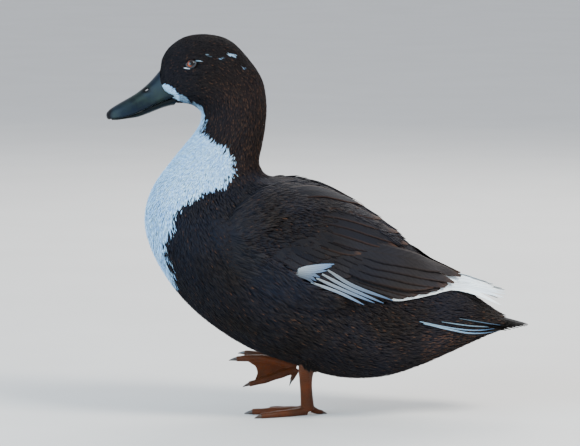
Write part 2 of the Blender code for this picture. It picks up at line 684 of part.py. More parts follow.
def tail_vanes():
    """The fan of tail feathers, the middle pair on top."""
    made = []
    for side in (-1.0, 1.0):
        for i, share in enumerate(np.linspace(0, 1, TAIL_PAIRS)):
            root = spline(TAIL_ROOTS, share * (len(TAIL_ROOTS) - 1))[0]
            tip = spline(TAIL_TIPS, share * (len(TAIL_TIPS) - 1))[0]
            sink = np.array([0.0, 0.0, TAIL_STEP * (i + (0.5 if side > 0 else 0.0))])
            middle = (root + tip) / 2 + (0.0, 0.0, TAIL_BOW)
            path = np.array([root, (root + middle) / 2, middle, (middle + tip) / 2, tip]) - sink
            lean = math.radians(TAIL_LEAN) * share
            normal = np.array([TAIL_FACING, math.sin(lean), math.cos(lean)])
            half = TAIL_HALF[0] + (TAIL_HALF[1] - TAIL_HALF[0]) * share
            normals = [normal] * len(path)
            made.append(vane("tail_feather", mirrored(path, side), mirrored(normals, side), half, 0.3, 4,
                             camber=TAIL_CAMBER))
    return made


def tail_coverts(row):
    """One row of small feathers that cover the roots of the tail feathers."""
    made = []
    for angle in np.radians(np.linspace(*row["angles"], row["count"])):
        path, normals = [], []
        for along in np.linspace(0, 1, 4):
            t = row["along"][0] + (row["along"][1] - row["along"][0]) * along
            spot, normal = body_frame(np.array(t), np.array(angle), row["lift"] * along - COVERT_ROOT)
            path.append(spot + (row["reach"] * max(0.0, along - 0.5) ** 2, 0.0, 0.0))
            normals.append(normal)
        made.append(vane(row["name"], path, normals, row["half"], 0.35, 3))
    return made


def make_tail():
    """Rump with its fan of tail feathers and the coverts over and under their roots."""
    tail = body_part("tail", TORSO_END, RUMP_END, 7, back_gap=0.0, around=32)
    feathers = tail_vanes() + [feather for row in TAIL_COVERTS for feather in tail_coverts(row)]
    combine(tail, feathers, "UNION", "MANIFOLD")
    clear_torso = body_part("clear_torso", NECK_END, TORSO_END, 17, back_gap=-GAP / 2)
    combine(tail, [clear_torso], "DIFFERENCE", "MANIFOLD")
    return paint(tail, BLACK, 0.5)


# Legs, as centre lines with a half depth (front to back) and a half width (side to side) at each place
THIGHS = {
    "left": ((8.0, -38.0, 84.0, 34.0, 22.0), (-1.0, -34.0, 66.0, 25.0, 17.0),
             (-9.0, -27.5, 52.5, 12.5, 10.0)),
    "right": ((26.0, 38.0, 84.0, 34.0, 24.0), (12.0, 36.0, 65.0, 27.0, 19.0),
              (-3.0, 33.0, 50.0, 12.5, 10.0)),
}
SHANKS = {
    "left": ((-9.0, -29.0, 60.0, 7.4, 6.4), (-11.5, -24.0, 50.0, 8.0, 6.6), (-12.2, -18.0, 39.0, 6.6, 5.0),
             (-11.8, -12.0, 27.0, 6.1, 4.6), (-11.0, -6.0, 15.0, 6.4, 5.0), (-10.5, -2.0, 6.0, 7.0, 6.5)),
    "right": ((18.0, 36.0, 66.0, 7.0, 6.0), (10.0, 35.0, 60.0, 7.6, 6.2), (0.0, 33.0, 54.0, 6.0, 4.6),
              (-10.0, 31.0, 49.0, 5.6, 4.3), (-19.0, 29.0, 44.5, 6.2, 5.2)),
}
# Toes as centre lines with a radius at each place, the last place being the end under the claw
TOES = {
    "left": {
        "inner": ((-12.0, 0.5, 4.6, 4.8), (-24.0, 7.5, 3.1, 4.1), (-36.0, 14.0, 2.7, 3.6),
                  (-48.0, 19.5, 2.2, 2.9)),
        "middle": ((-12.0, -1.5, 4.8, 5.2), (-29.0, -1.0, 3.4, 4.5), (-47.0, -0.5, 3.0, 4.0),
                   (-66.0, 0.0, 2.3, 3.1)),
        "outer": ((-12.0, -3.5, 4.6, 4.8), (-26.0, -11.5, 3.2, 4.2), (-41.0, -19.0, 2.8, 3.7),
                  (-57.0, -26.0, 2.2, 2.9)),
        "hind": ((-6.0, -0.5, 5.4, 3.4), (-0.5, 1.0, 2.9, 2.8), (4.5, 2.5, 1.7, 2.3)),
    },
    "right": {
        "inner": ((-22.0, 27.5, 42.0, 4.4), (-38.0, 22.0, 37.0, 3.7), (-55.0, 16.0, 32.0, 3.3),
                  (-69.0, 12.0, 29.0, 2.6)),
        "middle": ((-22.0, 29.0, 44.0, 4.8), (-42.0, 29.0, 50.0, 4.1), (-62.0, 29.0, 53.0, 3.7),
                   (-82.0, 29.5, 52.0, 2.8)),
        "outer": ((-22.0, 30.5, 44.0, 4.4), (-39.0, 36.0, 50.5, 3.8), (-57.0, 41.0, 54.5, 3.4),
                  (-74.0, 45.0, 56.0, 2.7)),
        "hind": ((-21.0, 27.5, 42.0, 3.2), (-24.0, 26.0, 36.0, 2.5), (-26.5, 24.5, 31.0, 1.9)),
    },
}
CLAW_LENGTHS = {"inner": 7.0, "middle": 8.0, "outer": 7.0, "hind": 5.0}
WEB_THICK = 1.5
WEB_REACH = 0.9
WEB_SCALLOP = 0.2
# Ball in which shank and toes meet, and how far its centre lies under the shank's end
JOINT_RADII = (7.4, 6.8, 6.6)
JOINT_DROP = 0.6


def tube(name, rows, steps, around, flat_floor=False):
    """A round limb along a centre line, with a level underside if it rests on the floor."""
    rows = np.asarray(rows, float)
    if rows.shape[1] == 4:
        rows = np.concatenate([rows, rows[:, 3:4]], axis=1)
    places = spline(rows, np.linspace(0, len(rows) - 1, steps))
    rings = []
    for i, (x, y, z, deep, wide) in enumerate(places):
        ahead = places[min(i + 1, steps - 1), :3] - places[max(i - 1, 0), :3]
        ahead /= np.linalg.norm(ahead)
        across = np.cross(ahead, (1.0, 0.0, 0.0) if abs(ahead[2]) > 0.6 else (0.0, 0.0, 1.0))
        across /= np.linalg.norm(across)
        other = np.cross(ahead, across)
        ring = [np.array([x, y, z]) + math.cos(a) * wide * across + math.sin(a) * deep * other
                for a in np.linspace(0, 2 * math.pi, around, endpoint=False)]
        if flat_floor:
            ring = [np.array([p[0], p[1], max(p[2], 0.0)]) for p in ring]
        rings.append(ring)
    return rings_object(name, rings)


def web(name, first, second):
    """The skin between two toes, a thin sheet with a hollow front edge."""
    first, second = np.asarray(first, float)[:, :3], np.asarray(second, float)[:, :3]
    last = len(first) - 1
    low, high = [], []
    for along in np.linspace(0.1, 1.0, 5):
        low_row, high_row = [], []
        for across in np.linspace(0, 1, 5):
            reach = along * last * WEB_REACH * (1 - WEB_SCALLOP * math.sin(math.pi * across))
            spot = spline(first, reach)[0] * (1 - across) + spline(second, reach)[0] * across
            low_row.append(spot - (0, 0, WEB_THICK / 2))
            high_row.append(spot + (0, 0, WEB_THICK / 2))
        low.append(low_row)
        high.append(high_row)
    return sheet(name, low, high)


def claw(name, toe, length, on_floor):
    """A claw beyond the end of a toe, bending down to a blunt point."""
    toe = np.asarray(toe, float)
    ahead = toe[-1, :3] - toe[-2, :3]
    ahead /= np.linalg.norm(ahead)
    radius = toe[-1, 3] * 0.8
    rings = []
    for share in (0.0, 0.35, 0.7, 1.0):
        size = radius * (1 - 0.82 * share ** 1.3)
        spot = toe[-1, :3] + ahead * (GAP + length * share) - np.array([0, 0, 1.2 * share ** 2])
        if on_floor:
            spot[2] = max(spot[2], size + 0.05)
        across = np.cross(ahead, (0.0, 0.0, 1.0))
        across /= np.linalg.norm(across)
        other = np.cross(ahead, across)
        rings.append([spot + size * (math.cos(a) * across * 0.8 + math.sin(a) * other)
                      for a in np.linspace(0, 2 * math.pi, 6, endpoint=False)])
    return paint(rings_object(name, rings), CLAW_BROWN, 0.4)


def grown_body():
    """The body with the gap around it, to cut the legs' tops with."""
    return body_part("grown_body", NECK_END - 1, RUMP_END, 24, grow=GAP)


def make_leg(name):
    """Thigh feathers, shank, webbed foot and claws of one leg."""
    on_floor = name == "left"
    thigh = tube("thigh_" + name, THIGHS[name], 6, 14)
    combine(thigh, [grown_body()], "DIFFERENCE")
    grown = [row[:3] + (row[3] + GAP, row[4] + GAP) for row in SHANKS[name]]
    combine(thigh, [tube("clear_shank", grown, 9, 10)], "DIFFERENCE")
    paint(thigh, DARK_BROWN, 0.6)
    toes = TOES[name]
    foot = tube("foot_" + name, toes["middle"], 7, 8, on_floor)
    pieces = [tube(toe, rows, 4 if toe == "hind" else 7, 8, on_floor)
              for toe, rows in toes.items() if toe != "middle"]
    pieces.append(web("web_inner", toes["inner"], toes["middle"]))
    pieces.append(web("web_outer", toes["middle"], toes["outer"]))
    joint = np.array(SHANKS[name][-1][:3]) - (0.0, 0.0, JOINT_DROP)
    pieces.append(ellipsoid("joint", joint, JOINT_RADII, 14, 10))
    combine(foot, pieces, "UNION")
    if on_floor:
        block = prism("floor", [(-300.0, -50.0), (300.0, -50.0), (300.0, 0.0), (-300.0, 0.0)], 200.0)
        combine(foot, [block], "DIFFERENCE")
    shank = tube("shank_" + name, SHANKS[name], 9, 10)
    combine(shank, [grown_body()], "DIFFERENCE")
    wider = tuple(radius + GAP for radius in JOINT_RADII)
    combine(shank, [ellipsoid("clear_joint", joint, wider, 14, 10)], "DIFFERENCE")
    for toe, rows in toes.items():
        clear_toe = tube("clear_toe", [row[:3] + (row[3] + GAP,) for row in rows], 7, 8)
        combine(shank, [clear_toe], "DIFFERENCE")
        claw("claw_" + toe + "_" + name, rows, CLAW_LENGTHS[toe], on_floor)
    paint(shank, LEG_ORANGE, 0.5)
    paint(foot, LEG_ORANGE, 0.5)


def build():
    """The whole bird, one named object for each part."""
    for leftover in list(bpy.data.objects):
        bpy.data.objects.remove(leftover)
    paint(body_part("torso", NECK_END, TORSO_END, 17), BLACK, 0.6)
    paint(body_part("neck", HEAD_END, NECK_END, 8), DARK_BROWN, 0.6)
    make_head()
    make_eyes()
    make_bill()
    make_tail()
    make_wings()
    for side_name, _ in SIDES:
        make_leg(side_name)


if __name__ == "__main__":
    build()
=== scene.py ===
"""Looks of a black domestic duck with a white bib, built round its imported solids.

The bird's lengths are in millimetres, and MM turns them into metres as each mesh is made. Lights and camera
are in metres. The bill points to -X, the tail to +X, and the left side to -Y, where the camera stands.
"""

import math

import bmesh
import bpy
import numpy as np
from bpy.props import FloatProperty, FloatVectorProperty, IntProperty, PointerProperty
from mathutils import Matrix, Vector


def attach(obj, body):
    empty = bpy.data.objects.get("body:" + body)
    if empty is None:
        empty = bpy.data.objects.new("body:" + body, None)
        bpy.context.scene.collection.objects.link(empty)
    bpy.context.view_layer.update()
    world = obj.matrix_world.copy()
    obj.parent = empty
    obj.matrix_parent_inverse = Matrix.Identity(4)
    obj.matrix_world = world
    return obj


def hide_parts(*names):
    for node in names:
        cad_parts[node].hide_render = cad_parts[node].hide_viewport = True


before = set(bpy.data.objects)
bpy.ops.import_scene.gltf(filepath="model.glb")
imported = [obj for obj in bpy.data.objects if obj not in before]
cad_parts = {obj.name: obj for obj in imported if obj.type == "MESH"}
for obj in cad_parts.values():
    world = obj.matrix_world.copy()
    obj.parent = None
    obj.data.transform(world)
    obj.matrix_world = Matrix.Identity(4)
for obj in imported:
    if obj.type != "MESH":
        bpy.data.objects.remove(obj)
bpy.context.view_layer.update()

bl_info = {
    "name": "Black Duck",
    "version": (1, 0, 0),
    "blender": (4, 5, 0),
    "location": "View3D > Sidebar > Duck",
    "description": "Dresses the solids of a duck with skin, feathers, bill, eyes and webbed feet",
    "category": "Object",
}

MM = 0.001
SIDES = (("left", -1.0), ("right", 1.0))
FULL_TURN = 2 * math.pi

# The bird's own surface from the face to the tail. Each row is one section: x and z on the back's line, x and
# z on the belly's line, half width, fullness, and how far the widest place is shifted up
SECTIONS = np.array([
    (-170.0, 337.7, -155.0, 310.5, 12.5, 2.3, -0.10),
    (-158.5, 345.8, -145.0, 313.1, 15.5, 2.3, -0.12),
    (-155.5, 358.8, -139.0, 313.6, 18.5, 2.3, -0.15),
    (-147.0, 371.3, -132.0, 313.1, 21.5, 2.3, -0.15),
    (-131.0, 380.9, -125.5, 311.6, 23.5, 2.3, -0.15),
    (-109.0, 382.9, -120.0, 308.0, 24.8, 2.3, -0.12),
    (-87.0, 376.4, -117.0, 304.0, 25.2, 2.2, -0.08),
    (-68.0, 357.3, -117.0, 298.5, 25.5, 2.1, 0.0),
    (-55.0, 336.7, -119.0, 292.0, 26.0, 2.1, 0.0),
    (-51.0, 313.6, -124.5, 283.0, 27.5, 2.1, 0.0),
    (-52.0, 293.5, -133.5, 271.9, 30.0, 2.1, 0.0),
    (-55.5, 272.4, -148.0, 253.8, 35.5, 2.1, 0.0),
    (-59.0, 257.3, -161.0, 236.2, 44.0, 2.1, 0.0),
    (-57.5, 249.2, -169.5, 218.1, 55.0, 2.15, 0.0),
    (-53.5, 242.7, -173.0, 198.0, 64.5, 2.2, 0.0),
    (-46.5, 239.2, -169.5, 176.9, 71.5, 2.2, 0.0),
    (-35.0, 238.2, -158.0, 150.8, 76.0, 2.25, -0.03),
    (-18.0, 236.0, -135.0, 118.6, 79.0, 2.3, -0.05),
    (3.0, 229.0, -104.0, 91.0, 79.0, 2.3, -0.05),
    (29.0, 215.2, -66.0, 67.8, 77.0, 2.3, -0.05),
    (57.0, 197.0, -23.0, 52.3, 73.0, 2.3, -0.05),
    (84.0, 175.8, 20.0, 39.7, 67.0, 2.25, -0.05),
    (109.0, 154.5, 63.0, 39.7, 58.0, 2.2, -0.05),
    (131.0, 136.5, 100.0, 50.3, 47.5, 2.15, -0.05),
    (151.0, 124.5, 133.0, 64.3, 37.5, 2.1, 0.0),
    (166.0, 114.0, 160.0, 76.9, 29.5, 2.1, 0.0),
    (181.0, 103.5, 182.0, 86.0, 23.0, 2.0, 0.0),
    (198.0, 95.5, 198.0, 90.5, 11.0, 2.0, 0.0),
])
# Places along the body, as numbers of sections
FACE_START, FACE_END, NECK_START, BODY_START, BREAST_START = 0.8, 4.2, 8.0, 12.5, 13.5
RUMP_START, COAT_END, RUMP_END = 23.0, 25.6, 27.0
# Stretches of the body that make one piece of coat on each side
BODY_COATS = ((BODY_START, 16.0), (16.0, 19.0), (19.0, RUMP_START))
# Soft forms of the face: x, z, radius, and how far they move the surface out
HEAD_FORMS = (
    (-145.0, 345.0, 9.0, -1.6),
    (-126.0, 364.0, 9.0, 1.2),
    (-116.0, 332.0, 20.0, 1.6),
    (-127.5, 357.5, 7.0, -1.2),
)
# Depth of the coat over the skin at places along the body
COAT_DEPTH = ((0.0, 0.8), (3.0, 1.7), (8.0, 2.4), (13.0, 3.0), (18.0, 3.6), (24.0, 3.2), (27.0, 2.0))

# Feather line at the bill's base in side view
BILL_EDGE = np.array([
    (-159.5, 352.0), (-159.0, 344.5), (-158.3, 337.5), (-156.8, 331.5), (-154.0, 327.3),
    (-150.3, 324.6), (-146.2, 323.3), (-142.0, 322.4), (-141.5, 317.0), (-144.5, 312.5), (-148.0, 306.0),
])
# How many of its points lie beside the upper bill, the corner of the mouth, the bare strip in front of the
# feathers, and how far the bill reaches back under them
FACE_EDGE, MOUTH_CORNER, BARE_STRIP, BILL_UNDER = 8, (-142.5, 322.4), 0.4, 1.5
# Rear corners and half depth of the zone behind that line, which is cut out of the bill
ZONE_CORNERS, ZONE_DEPTH = ((-100.0, 306.0), (-100.0, 360.0)), 60.0
# Both halves of the bill from the tip back: x and z of the upper line, x and z of the lower line, half width
UPPER_BILL = np.array([
    (-210.6, 304.0, -209.5, 298.8, 4.2),
    (-208.0, 307.2, -206.5, 298.5, 7.2),
    (-203.5, 310.4, -201.5, 298.9, 9.6),
    (-197.0, 314.3, -194.5, 300.2, 11.0),
    (-189.0, 318.8, -185.5, 302.6, 11.3),
    (-181.0, 323.7, -177.0, 306.3, 11.2),
    (-173.0, 330.0, -168.5, 310.2, 11.6),
    (-165.5, 337.2, -161.0, 313.8, 12.6),
    (-158.0, 346.0, -152.5, 317.6, 15.0),
    (-151.0, 354.5, -143.0, 321.2, 17.0),
])
LOWER_BILL = np.array([
    (-206.0, 298.2, -205.6, 296.9, 5.2),
    (-200.5, 298.6, -199.8, 297.0, 7.8),
    (-192.0, 300.3, -190.5, 298.2, 9.3),
    (-182.0, 303.4, -179.5, 300.0, 9.6),
    (-172.0, 308.0, -169.0, 303.6, 10.0),
    (-161.0, 313.2, -158.5, 307.8, 11.2),
    (-150.0, 317.8, -148.5, 311.0, 12.6),
    (-139.0, 321.4, -138.5, 312.5, 13.6),
])
# The bill's cross-section: how full its dome and sides are, the lip's height, its width as an angle, and the
# hollow inside
DOME, FLANKS, LIP_HEIGHT, LIP_WIDTH, HOLLOW = 0.75, 0.8, 0.35, 0.16, 0.08
# Nail at the bill's tip: x, z, half length, half height, half width
NAIL = (-208.3, 301.6, 3.0, 4.4, 4.2)
# Nostril through the bill: x, z, half length, half height, depth to each side, and its tilt in degrees
NOSTRIL = (-170.6, 327.0, 2.1, 0.75, 32.0)
NOSTRIL_TURN = -38.0
# Half length and half height of the painted shade round a nostril's hole, and the x where the bill's black
# tip starts and where it is full
NOSTRIL_SHADE_REACH, NAIL_BLACK = (5.5, 3.4), (-203.5, -207.5)

# Eyeball's place in side view, its radius, the bulge at its pole, how deep its centre lies, the half axes of
# the bare skin round it, the way it looks, and how far iris and pupil are shifted on it: the iris low and in
# front as a lit crescent, the pupil's black high and behind as painted shade from the lid over the iris's top
EYE_PLACE = (-125.6, 354.4)
EYE_BALL, EYE_BULGE, EYE_DEPTH, EYE_BARE = 6.2, 0.15, 4.4, (5.6, 4.6)
EYE_AHEAD, EYE_UP, EYE_OUT = -0.16, 0.15, 0.975
PAINTED_LIGHT_IRIS_SHIFT, PAINTED_SHADE_PUPIL_SHIFT = np.array([-1.3, 0.0, -0.3]), np.array([0.1, 0.0, 0.4])
# Share by which the upper lid hangs over the eye, then the lid's half length, half height, thickness, tilt in
# degrees and height over the head
LID_DROOP = 0.5
LID_LENGTH, LID_HEIGHT, LID_THICK, LID_TILT, LID_LIFT = 4.7, 3.4, 0.8, 14.0, 0.5
# Pale line under the eye: its middle from the eye's place, half length, half height, fall over half its
# length, and height over the head
MARK_SHIFT, MARK_LENGTH, MARK_HEIGHT, MARK_FALL, MARK_LIFT = (-4.4, -4.4), 3.4, 0.62, 0.5, 0.3

# Folded wing in side view, drawn as seen from a little above
VIEW_SLOPE = 0.11
WING_UPPER = np.array([(-84, 190), (-66, 207), (-40, 219), (-8, 221), (24, 210), (56, 193), (88, 168),
                       (118, 149), (142, 141), (186, 129)], float)
WING_LOWER = np.array([(-84, 184), (-74, 173), (-52, 159), (-22, 145), (14, 130), (52, 118), (86, 116),
                       (112, 122), (146, 126), (183, 114)], float)
# Where the covered part of the body ends, where the wing starts to lift off the rump and over what length,
# how far the free part lies from the middle, how fast it spreads below its ridge, and which way it faces
COVERED_TO, FREE_FROM, FREE_OVER = 120.0, 100.0, 40.0
FREE_ASIDE, FREE_SPREAD, FREE_FACING = 5.0, 1.1, np.array([0.0, 0.67, 0.74])
# Skin of the wing under its coverts: the share of the wing that it reaches, its thickness, how deep its
# underside lies, its rows and columns, and the shares over which it thins in front and behind
PAD_REACH, PAD_THICK, PAD_SINK, PAD_STEPS, PAD_COLUMNS = 0.62, 4.2, 3.0, 40, 18
PAD_FRONT, PAD_REAR = 0.15, 0.2

# Rear edge of the white bib in side view, from its lower end up to the throat: height, x
BIB_EDGE = np.array([
    (137.6, -146.0), (150.5, -150.5), (168.5, -155.5), (185.2, -154.0), (193.0, -147.2), (204.6, -143.4),
    (214.9, -140.0), (219.5, -130.0), (226.0, -120.5), (231.6, -111.5), (233.5, -104.0), (237.5, -93.0),
    (241.5, -88.0), (251.0, -82.1), (258.7, -81.5), (267.8, -84.7), (274.1, -88.5), (280.6, -98.7),
    (284.4, -107.5), (289.6, -114.3), (297.3, -112.8), (306.3, -114.5), (312.0, -121.0),
])
# Where the bib ends below, above and behind, and how far its feathers stray over its edges
BIB_LOW, BIB_HIGH, BIB_REAR, BIB_STRAY, BIB_LOW_STRAY = 139.0, 309.0, -78.0, 2.2, 3.0
# Depth of the waves in its rear edge and their two rates, in radians for each millimetre of height
BIB_WAVE, BIB_RATES = 2.0, (0.31, 0.83)
# Shares of the view's slope that count for the bib and for the face's marks
BIB_SLOPE, MARK_SLOPE = 0.6, 0.4
# Pale marks on the face in side view: x, z, half length, half height, tilt in degrees, strength
FACE_MARKS = (
    (-149.0, 326.4, 8.6, 3.1, -33.0, 1.0),
    (-142.5, 320.6, 1.9, 4.2, 10.0, 0.85),
    (-136.5, 317.6, 7.0, 3.4, -28.0, 0.45),
    (-125.0, 311.0, 5.0, 3.4, -40.0, 0.35),
    (-119.0, 306.0, 3.6, 8.0, 20.0, 0.65),
    (-88.0, 364.6, 4.6, 1.5, -10.0, 0.75),
    (-99.5, 360.4, 3.0, 0.9, 20.0, 0.25),
    (-76.0, 352.6, 1.2, 0.9, -40.0, 0.6),
    (-119.6, 356.6, 2.4, 0.7, -20.0, 0.6),
    (-112.0, 362.4, 4.0, 0.6, -30.0, 0.15),
)
# Dark spot behind the white at the bill: x, z, radius
CHEEK_DOT = (-142.2, 325.6, 1.6)
# Place along the body where the marks end, how ragged their edges are, and by how much single feathers differ
# from a mark's strength
MARKED_TO, MARK_RAGGED, MARK_RANGE = 9.5, 0.10, (-0.25, 0.15)

# Share of feathers with a brown fringe anywhere, how many more on the nape, belly and under the tail, and the
# brown of the rest
FLECKS, NAPE_FLECKS, BELLY_FLECKS, TAIL_FLECKS = 0.03, 0.17, 0.04, 0.45
PLAIN_BROWN, NAPE_BROWN, BELLY_BROWN = 0.03, 0.12, 0.03
# Where those parts begin: the nape behind an x and below a z, and the belly below a z, each over a length,
# and the underside of the tail behind an x and below a z
NAPE_X, NAPE_Z, BELLY_Z, UNDER_TAIL = (-122.0, 40.0), (362.0, 30.0), (150.0, 60.0), (92.0, 88.0)
# Places along the body where the nape ends and where the belly starts
NAPE_TO, BELLY_FROM = 13.0, 15.0


def between(pair, share):
    """The value at a share of the way from the first of a pair to the second."""
    return pair[0] + (pair[1] - pair[0]) * share


def turns(count):
    """Angles of a full turn in equal steps."""
    return np.linspace(0, FULL_TURN, count, endpoint=False)


def mirror(side):
    """Factors that turn points of the right side into points of that side."""
    return np.array([1.0, side, 1.0])


def oval(middle, first, second, count):
    """Points of an oval round its middle, with two half axes."""
    angles = turns(count)[:, None]
    return np.asarray(middle) + np.cos(angles) * np.asarray(first) + np.sin(angles) * np.asarray(second)


def spline(rows, t):
    """Smooth curve through the rows at the places t, with a row at each whole number."""
    rows = np.asarray(rows, float)
    last = len(rows) - 1
    t = np.clip(np.atleast_1d(np.asarray(t, float)), 0.0, last)
    i = np.minimum(t.astype(int), last - 1)
    f = (t - i)[:, None]
    here, there = rows[i], rows[i + 1]
    before = np.where((i > 0)[:, None], rows[np.maximum(i - 1, 0)], 2 * here - there)
    after = np.where((i + 2 <= last)[:, None], rows[np.minimum(i + 2, last)], 2 * there - here)
    return 0.5 * (2 * here + (there - before) * f
                  + (2 * before - 5 * here + 4 * there - after) * f ** 2
                  + (3 * here - before - 3 * there + after) * f ** 3)


def at_share(line, share):
    """Places at shares of a smooth line, counted along its points."""
    return spline(line, share * (len(line) - 1))


def head_forms(side_view):
    """How far the soft forms move the head's surface out, at places seen from the side."""
    moved = np.zeros(len(side_view))
    for x, z, radius, amount in HEAD_FORMS:
        away = np.hypot(side_view[:, 0] - x, side_view[:, 1] - z) / radius
        moved += amount * np.exp(-away ** 2)
    return moved


def body_points(t, theta, grow=0.0):
    """Points of the body's surface. theta runs from the back, 0, down the right side to the belly, pi."""
    t, theta, grow = np.broadcast_arrays(*(np.asarray(each, float) for each in (t, theta, grow)))
    row = spline(SECTIONS, t.ravel())
    dorsal, ventral = row[:, 0:2], row[:, 2:4]
    half = (dorsal - ventral) / 2
    length = np.linalg.norm(half, axis=1, keepdims=True)
    power = 2.0 / row[:, 5]
    c, s = np.cos(theta.ravel()), np.sin(theta.ravel())
    up = np.sign(c) * np.abs(c) ** power
    out = np.sign(s) * np.abs(s) ** power
    up = up + row[:, 6] * (1 - up ** 2)
    grown = grow.ravel()[:, None]
    centre = (dorsal + ventral) / 2 + half / length * (length + grown) * up[:, None]
    y = (row[:, 4] + grow.ravel()) * out
    y = y + np.sign(y) * np.minimum(1.0, np.abs(out) * 2) * head_forms(centre)
    return np.stack([centre[:, 0], y, centre[:, 1]], axis=1).reshape(t.shape + (3,))


def lengths(vectors):
    """The lengths of vectors."""
    return np.linalg.norm(vectors, axis=-1)


def unit(vectors):
    """Vectors scaled to length one."""
    vectors = np.asarray(vectors, float)
    return vectors / np.maximum(np.linalg.norm(vectors, axis=-1, keepdims=True), 1e-9)


def body_normals(t, theta):
    """Outward directions of the body's surface."""
    step = 2e-3
    along = body_points(t + step, theta) - body_points(t - step, theta)
    around = body_points(t, theta + step) - body_points(t, theta - step)
    return unit(np.cross(along, around))


def locate(x, z):
    """The t and theta at which the body's right side shows the places x, z in side view."""
    x, z = np.atleast_1d(np.asarray(x, float)), np.atleast_1d(np.asarray(z, float))

    def across(t):
        """How far each place lies to one side of the line of section t."""
        row = spline(SECTIONS, t)
        return (row[:, 2] - row[:, 0]) * (z - row[:, 1]) - (row[:, 3] - row[:, 1]) * (x - row[:, 0])

    low = np.full(x.shape, BREAST_START - 3)
    high = np.full(x.shape, RUMP_END)
    sign = across(low) > 0
    for _ in range(34):
        t = (low + high) / 2
        same = (across(t) > 0) == sign
        low = np.where(same, t, low)
        high = np.where(same, high, t)
    row = spline(SECTIONS, t)
    half = (row[:, 0:2] - row[:, 2:4]) / 2
    off = np.stack([x, z], axis=1) - (row[:, 0:2] + row[:, 2:4]) / 2
    up = np.sum(off * half, axis=1) / np.sum(half * half, axis=1)
    shift = np.where(np.abs(row[:, 6]) > 1e-6, row[:, 6], 1e-6)
    up = (1 - np.sqrt(np.maximum(0.0, 1 - 4 * shift * (up - shift)))) / (2 * shift)
    up = np.clip(up, -0.999, 0.999)
    return t, np.arccos(np.sign(up) * np.abs(up) ** (row[:, 5] / 2))


def side_places(x, z):
    """Points and outward directions of the right side at places seen from the side and a little above."""
    t, theta = locate(x, z)
    for _ in range(3):
        t, theta = locate(x, z + VIEW_SLOPE * body_points(t, theta)[:, 1])
    return body_points(t, theta), body_normals(t, theta)


def wing_places(x, z):
    """Points and directions for the folded wing: on the body in front, free of the rump behind."""
    spot, normal = side_places(x, z)
    away = np.clip((np.atleast_1d(x) - FREE_FROM) / FREE_OVER, 0.0, 1.0)
    away = (away * away * (3 - 2 * away))[:, None]
    ridge = np.interp(x, WING_UPPER[:, 0], WING_UPPER[:, 1])
    free = np.stack([x, FREE_ASIDE + FREE_SPREAD * np.maximum(0.0, ridge - z), z], axis=1)
    return spot * (1 - away) + free * away, unit(normal * (1 - away) + FREE_FACING * away)


def in_wing(points, margin):
    """Which points of the body lie under a folded wing, away from its outline by the margin."""
    z = points[:, 2] - VIEW_SLOPE * np.abs(points[:, 1])
    upper = np.interp(points[:, 0], WING_UPPER[:, 0], WING_UPPER[:, 1])
    lower = np.interp(points[:, 0], WING_LOWER[:, 0], WING_LOWER[:, 1])
    inside = (points[:, 0] > WING_UPPER[0, 0] + margin) & (points[:, 0] < COVERED_TO)
    return inside & (z < upper - margin) & (z > lower + margin)


def bib(points, rng):
    """How white the plumage is at points of the body, with feathers straying over the edge."""
    x, z = points[:, 0], points[:, 2] - BIB_SLOPE * VIEW_SLOPE * np.abs(points[:, 1])
    edge = np.interp(z, BIB_EDGE[:, 0], BIB_EDGE[:, 1])
    waves = BIB_WAVE * np.sin(z * BIB_RATES[0]) * np.cos(z * BIB_RATES[1])
    stray = rng.normal(0.0, BIB_STRAY, len(points)) + waves
    low = BIB_LOW + BIB_LOW_STRAY * rng.normal(size=len(points))
    white = (x < edge + stray) & (z > low) & (z < BIB_HIGH) & (x < BIB_REAR)
    return white.astype(float)


def face_marks(points, rng):
    """How white the small marks make the face at points of the head."""
    white = np.zeros(len(points))
    for x, z, long, high, tilt, strength in FACE_MARKS:
        turn = math.radians(tilt)
        dx, dz = points[:, 0] - x, points[:, 2] - z - MARK_SLOPE * VIEW_SLOPE * np.abs(points[:, 1])
        u = (dx * math.cos(turn) + dz * math.sin(turn)) / long
        v = (dz * math.cos(turn) - dx * math.sin(turn)) / high
        near = np.hypot(u, v) + rng.normal(0.0, MARK_RAGGED, len(points))
        share = np.clip(strength + rng.uniform(*MARK_RANGE, len(points)), 0.0, 1.0)
        white = np.maximum(white, (near < 1.0) * share)
    return white


def quick_mesh(name, points, quads, triangles=(), flat=None):
    """An object from points in millimetres, its four-sided faces, its triangles, and which faces are flat."""
    points = np.asarray(points, np.float32) * MM
    quads, triangles = np.asarray(quads, np.int32), np.asarray(triangles, np.int32)
    corners = np.concatenate([quads.ravel(), triangles.ravel()]).astype(np.int32)
    sizes = np.array([4] * len(quads) + [3] * len(triangles), np.int32)
    starts = np.concatenate([[0], np.cumsum(sizes)[:-1]]).astype(np.int32)
    mesh = bpy.data.meshes.new(name)
    mesh.vertices.add(len(points))
    mesh.vertices.foreach_set("co", points.ravel())
    mesh.loops.add(len(corners))
    mesh.loops.foreach_set("vertex_index", corners)
    mesh.polygons.add(len(sizes))
    mesh.polygons.foreach_set("loop_start", starts)
    mesh.polygons.foreach_set("loop_total", sizes)
    mesh.update(calc_edges=True)
    mesh.validate()
    mesh.shade_smooth()
    if flat is not None:
        layer = mesh.attributes.new("sharp_face", "BOOLEAN", "FACE")
        layer.data.foreach_set("value", flat)
    obj = bpy.data.objects.new(name, mesh)
    bpy.context.scene.collection.objects.link(obj)
    return obj


def tube_faces(rings, around):
    """Four-sided faces between neighbouring rings of points, one row of faces for each ring but the last."""
    i, j = np.meshgrid(np.arange(rings - 1), np.arange(around), indexing="ij")
    a, b = i * around + j, i * around + (j + 1) % around
    return np.stack([a, a + around, b + around, b], axis=-1)


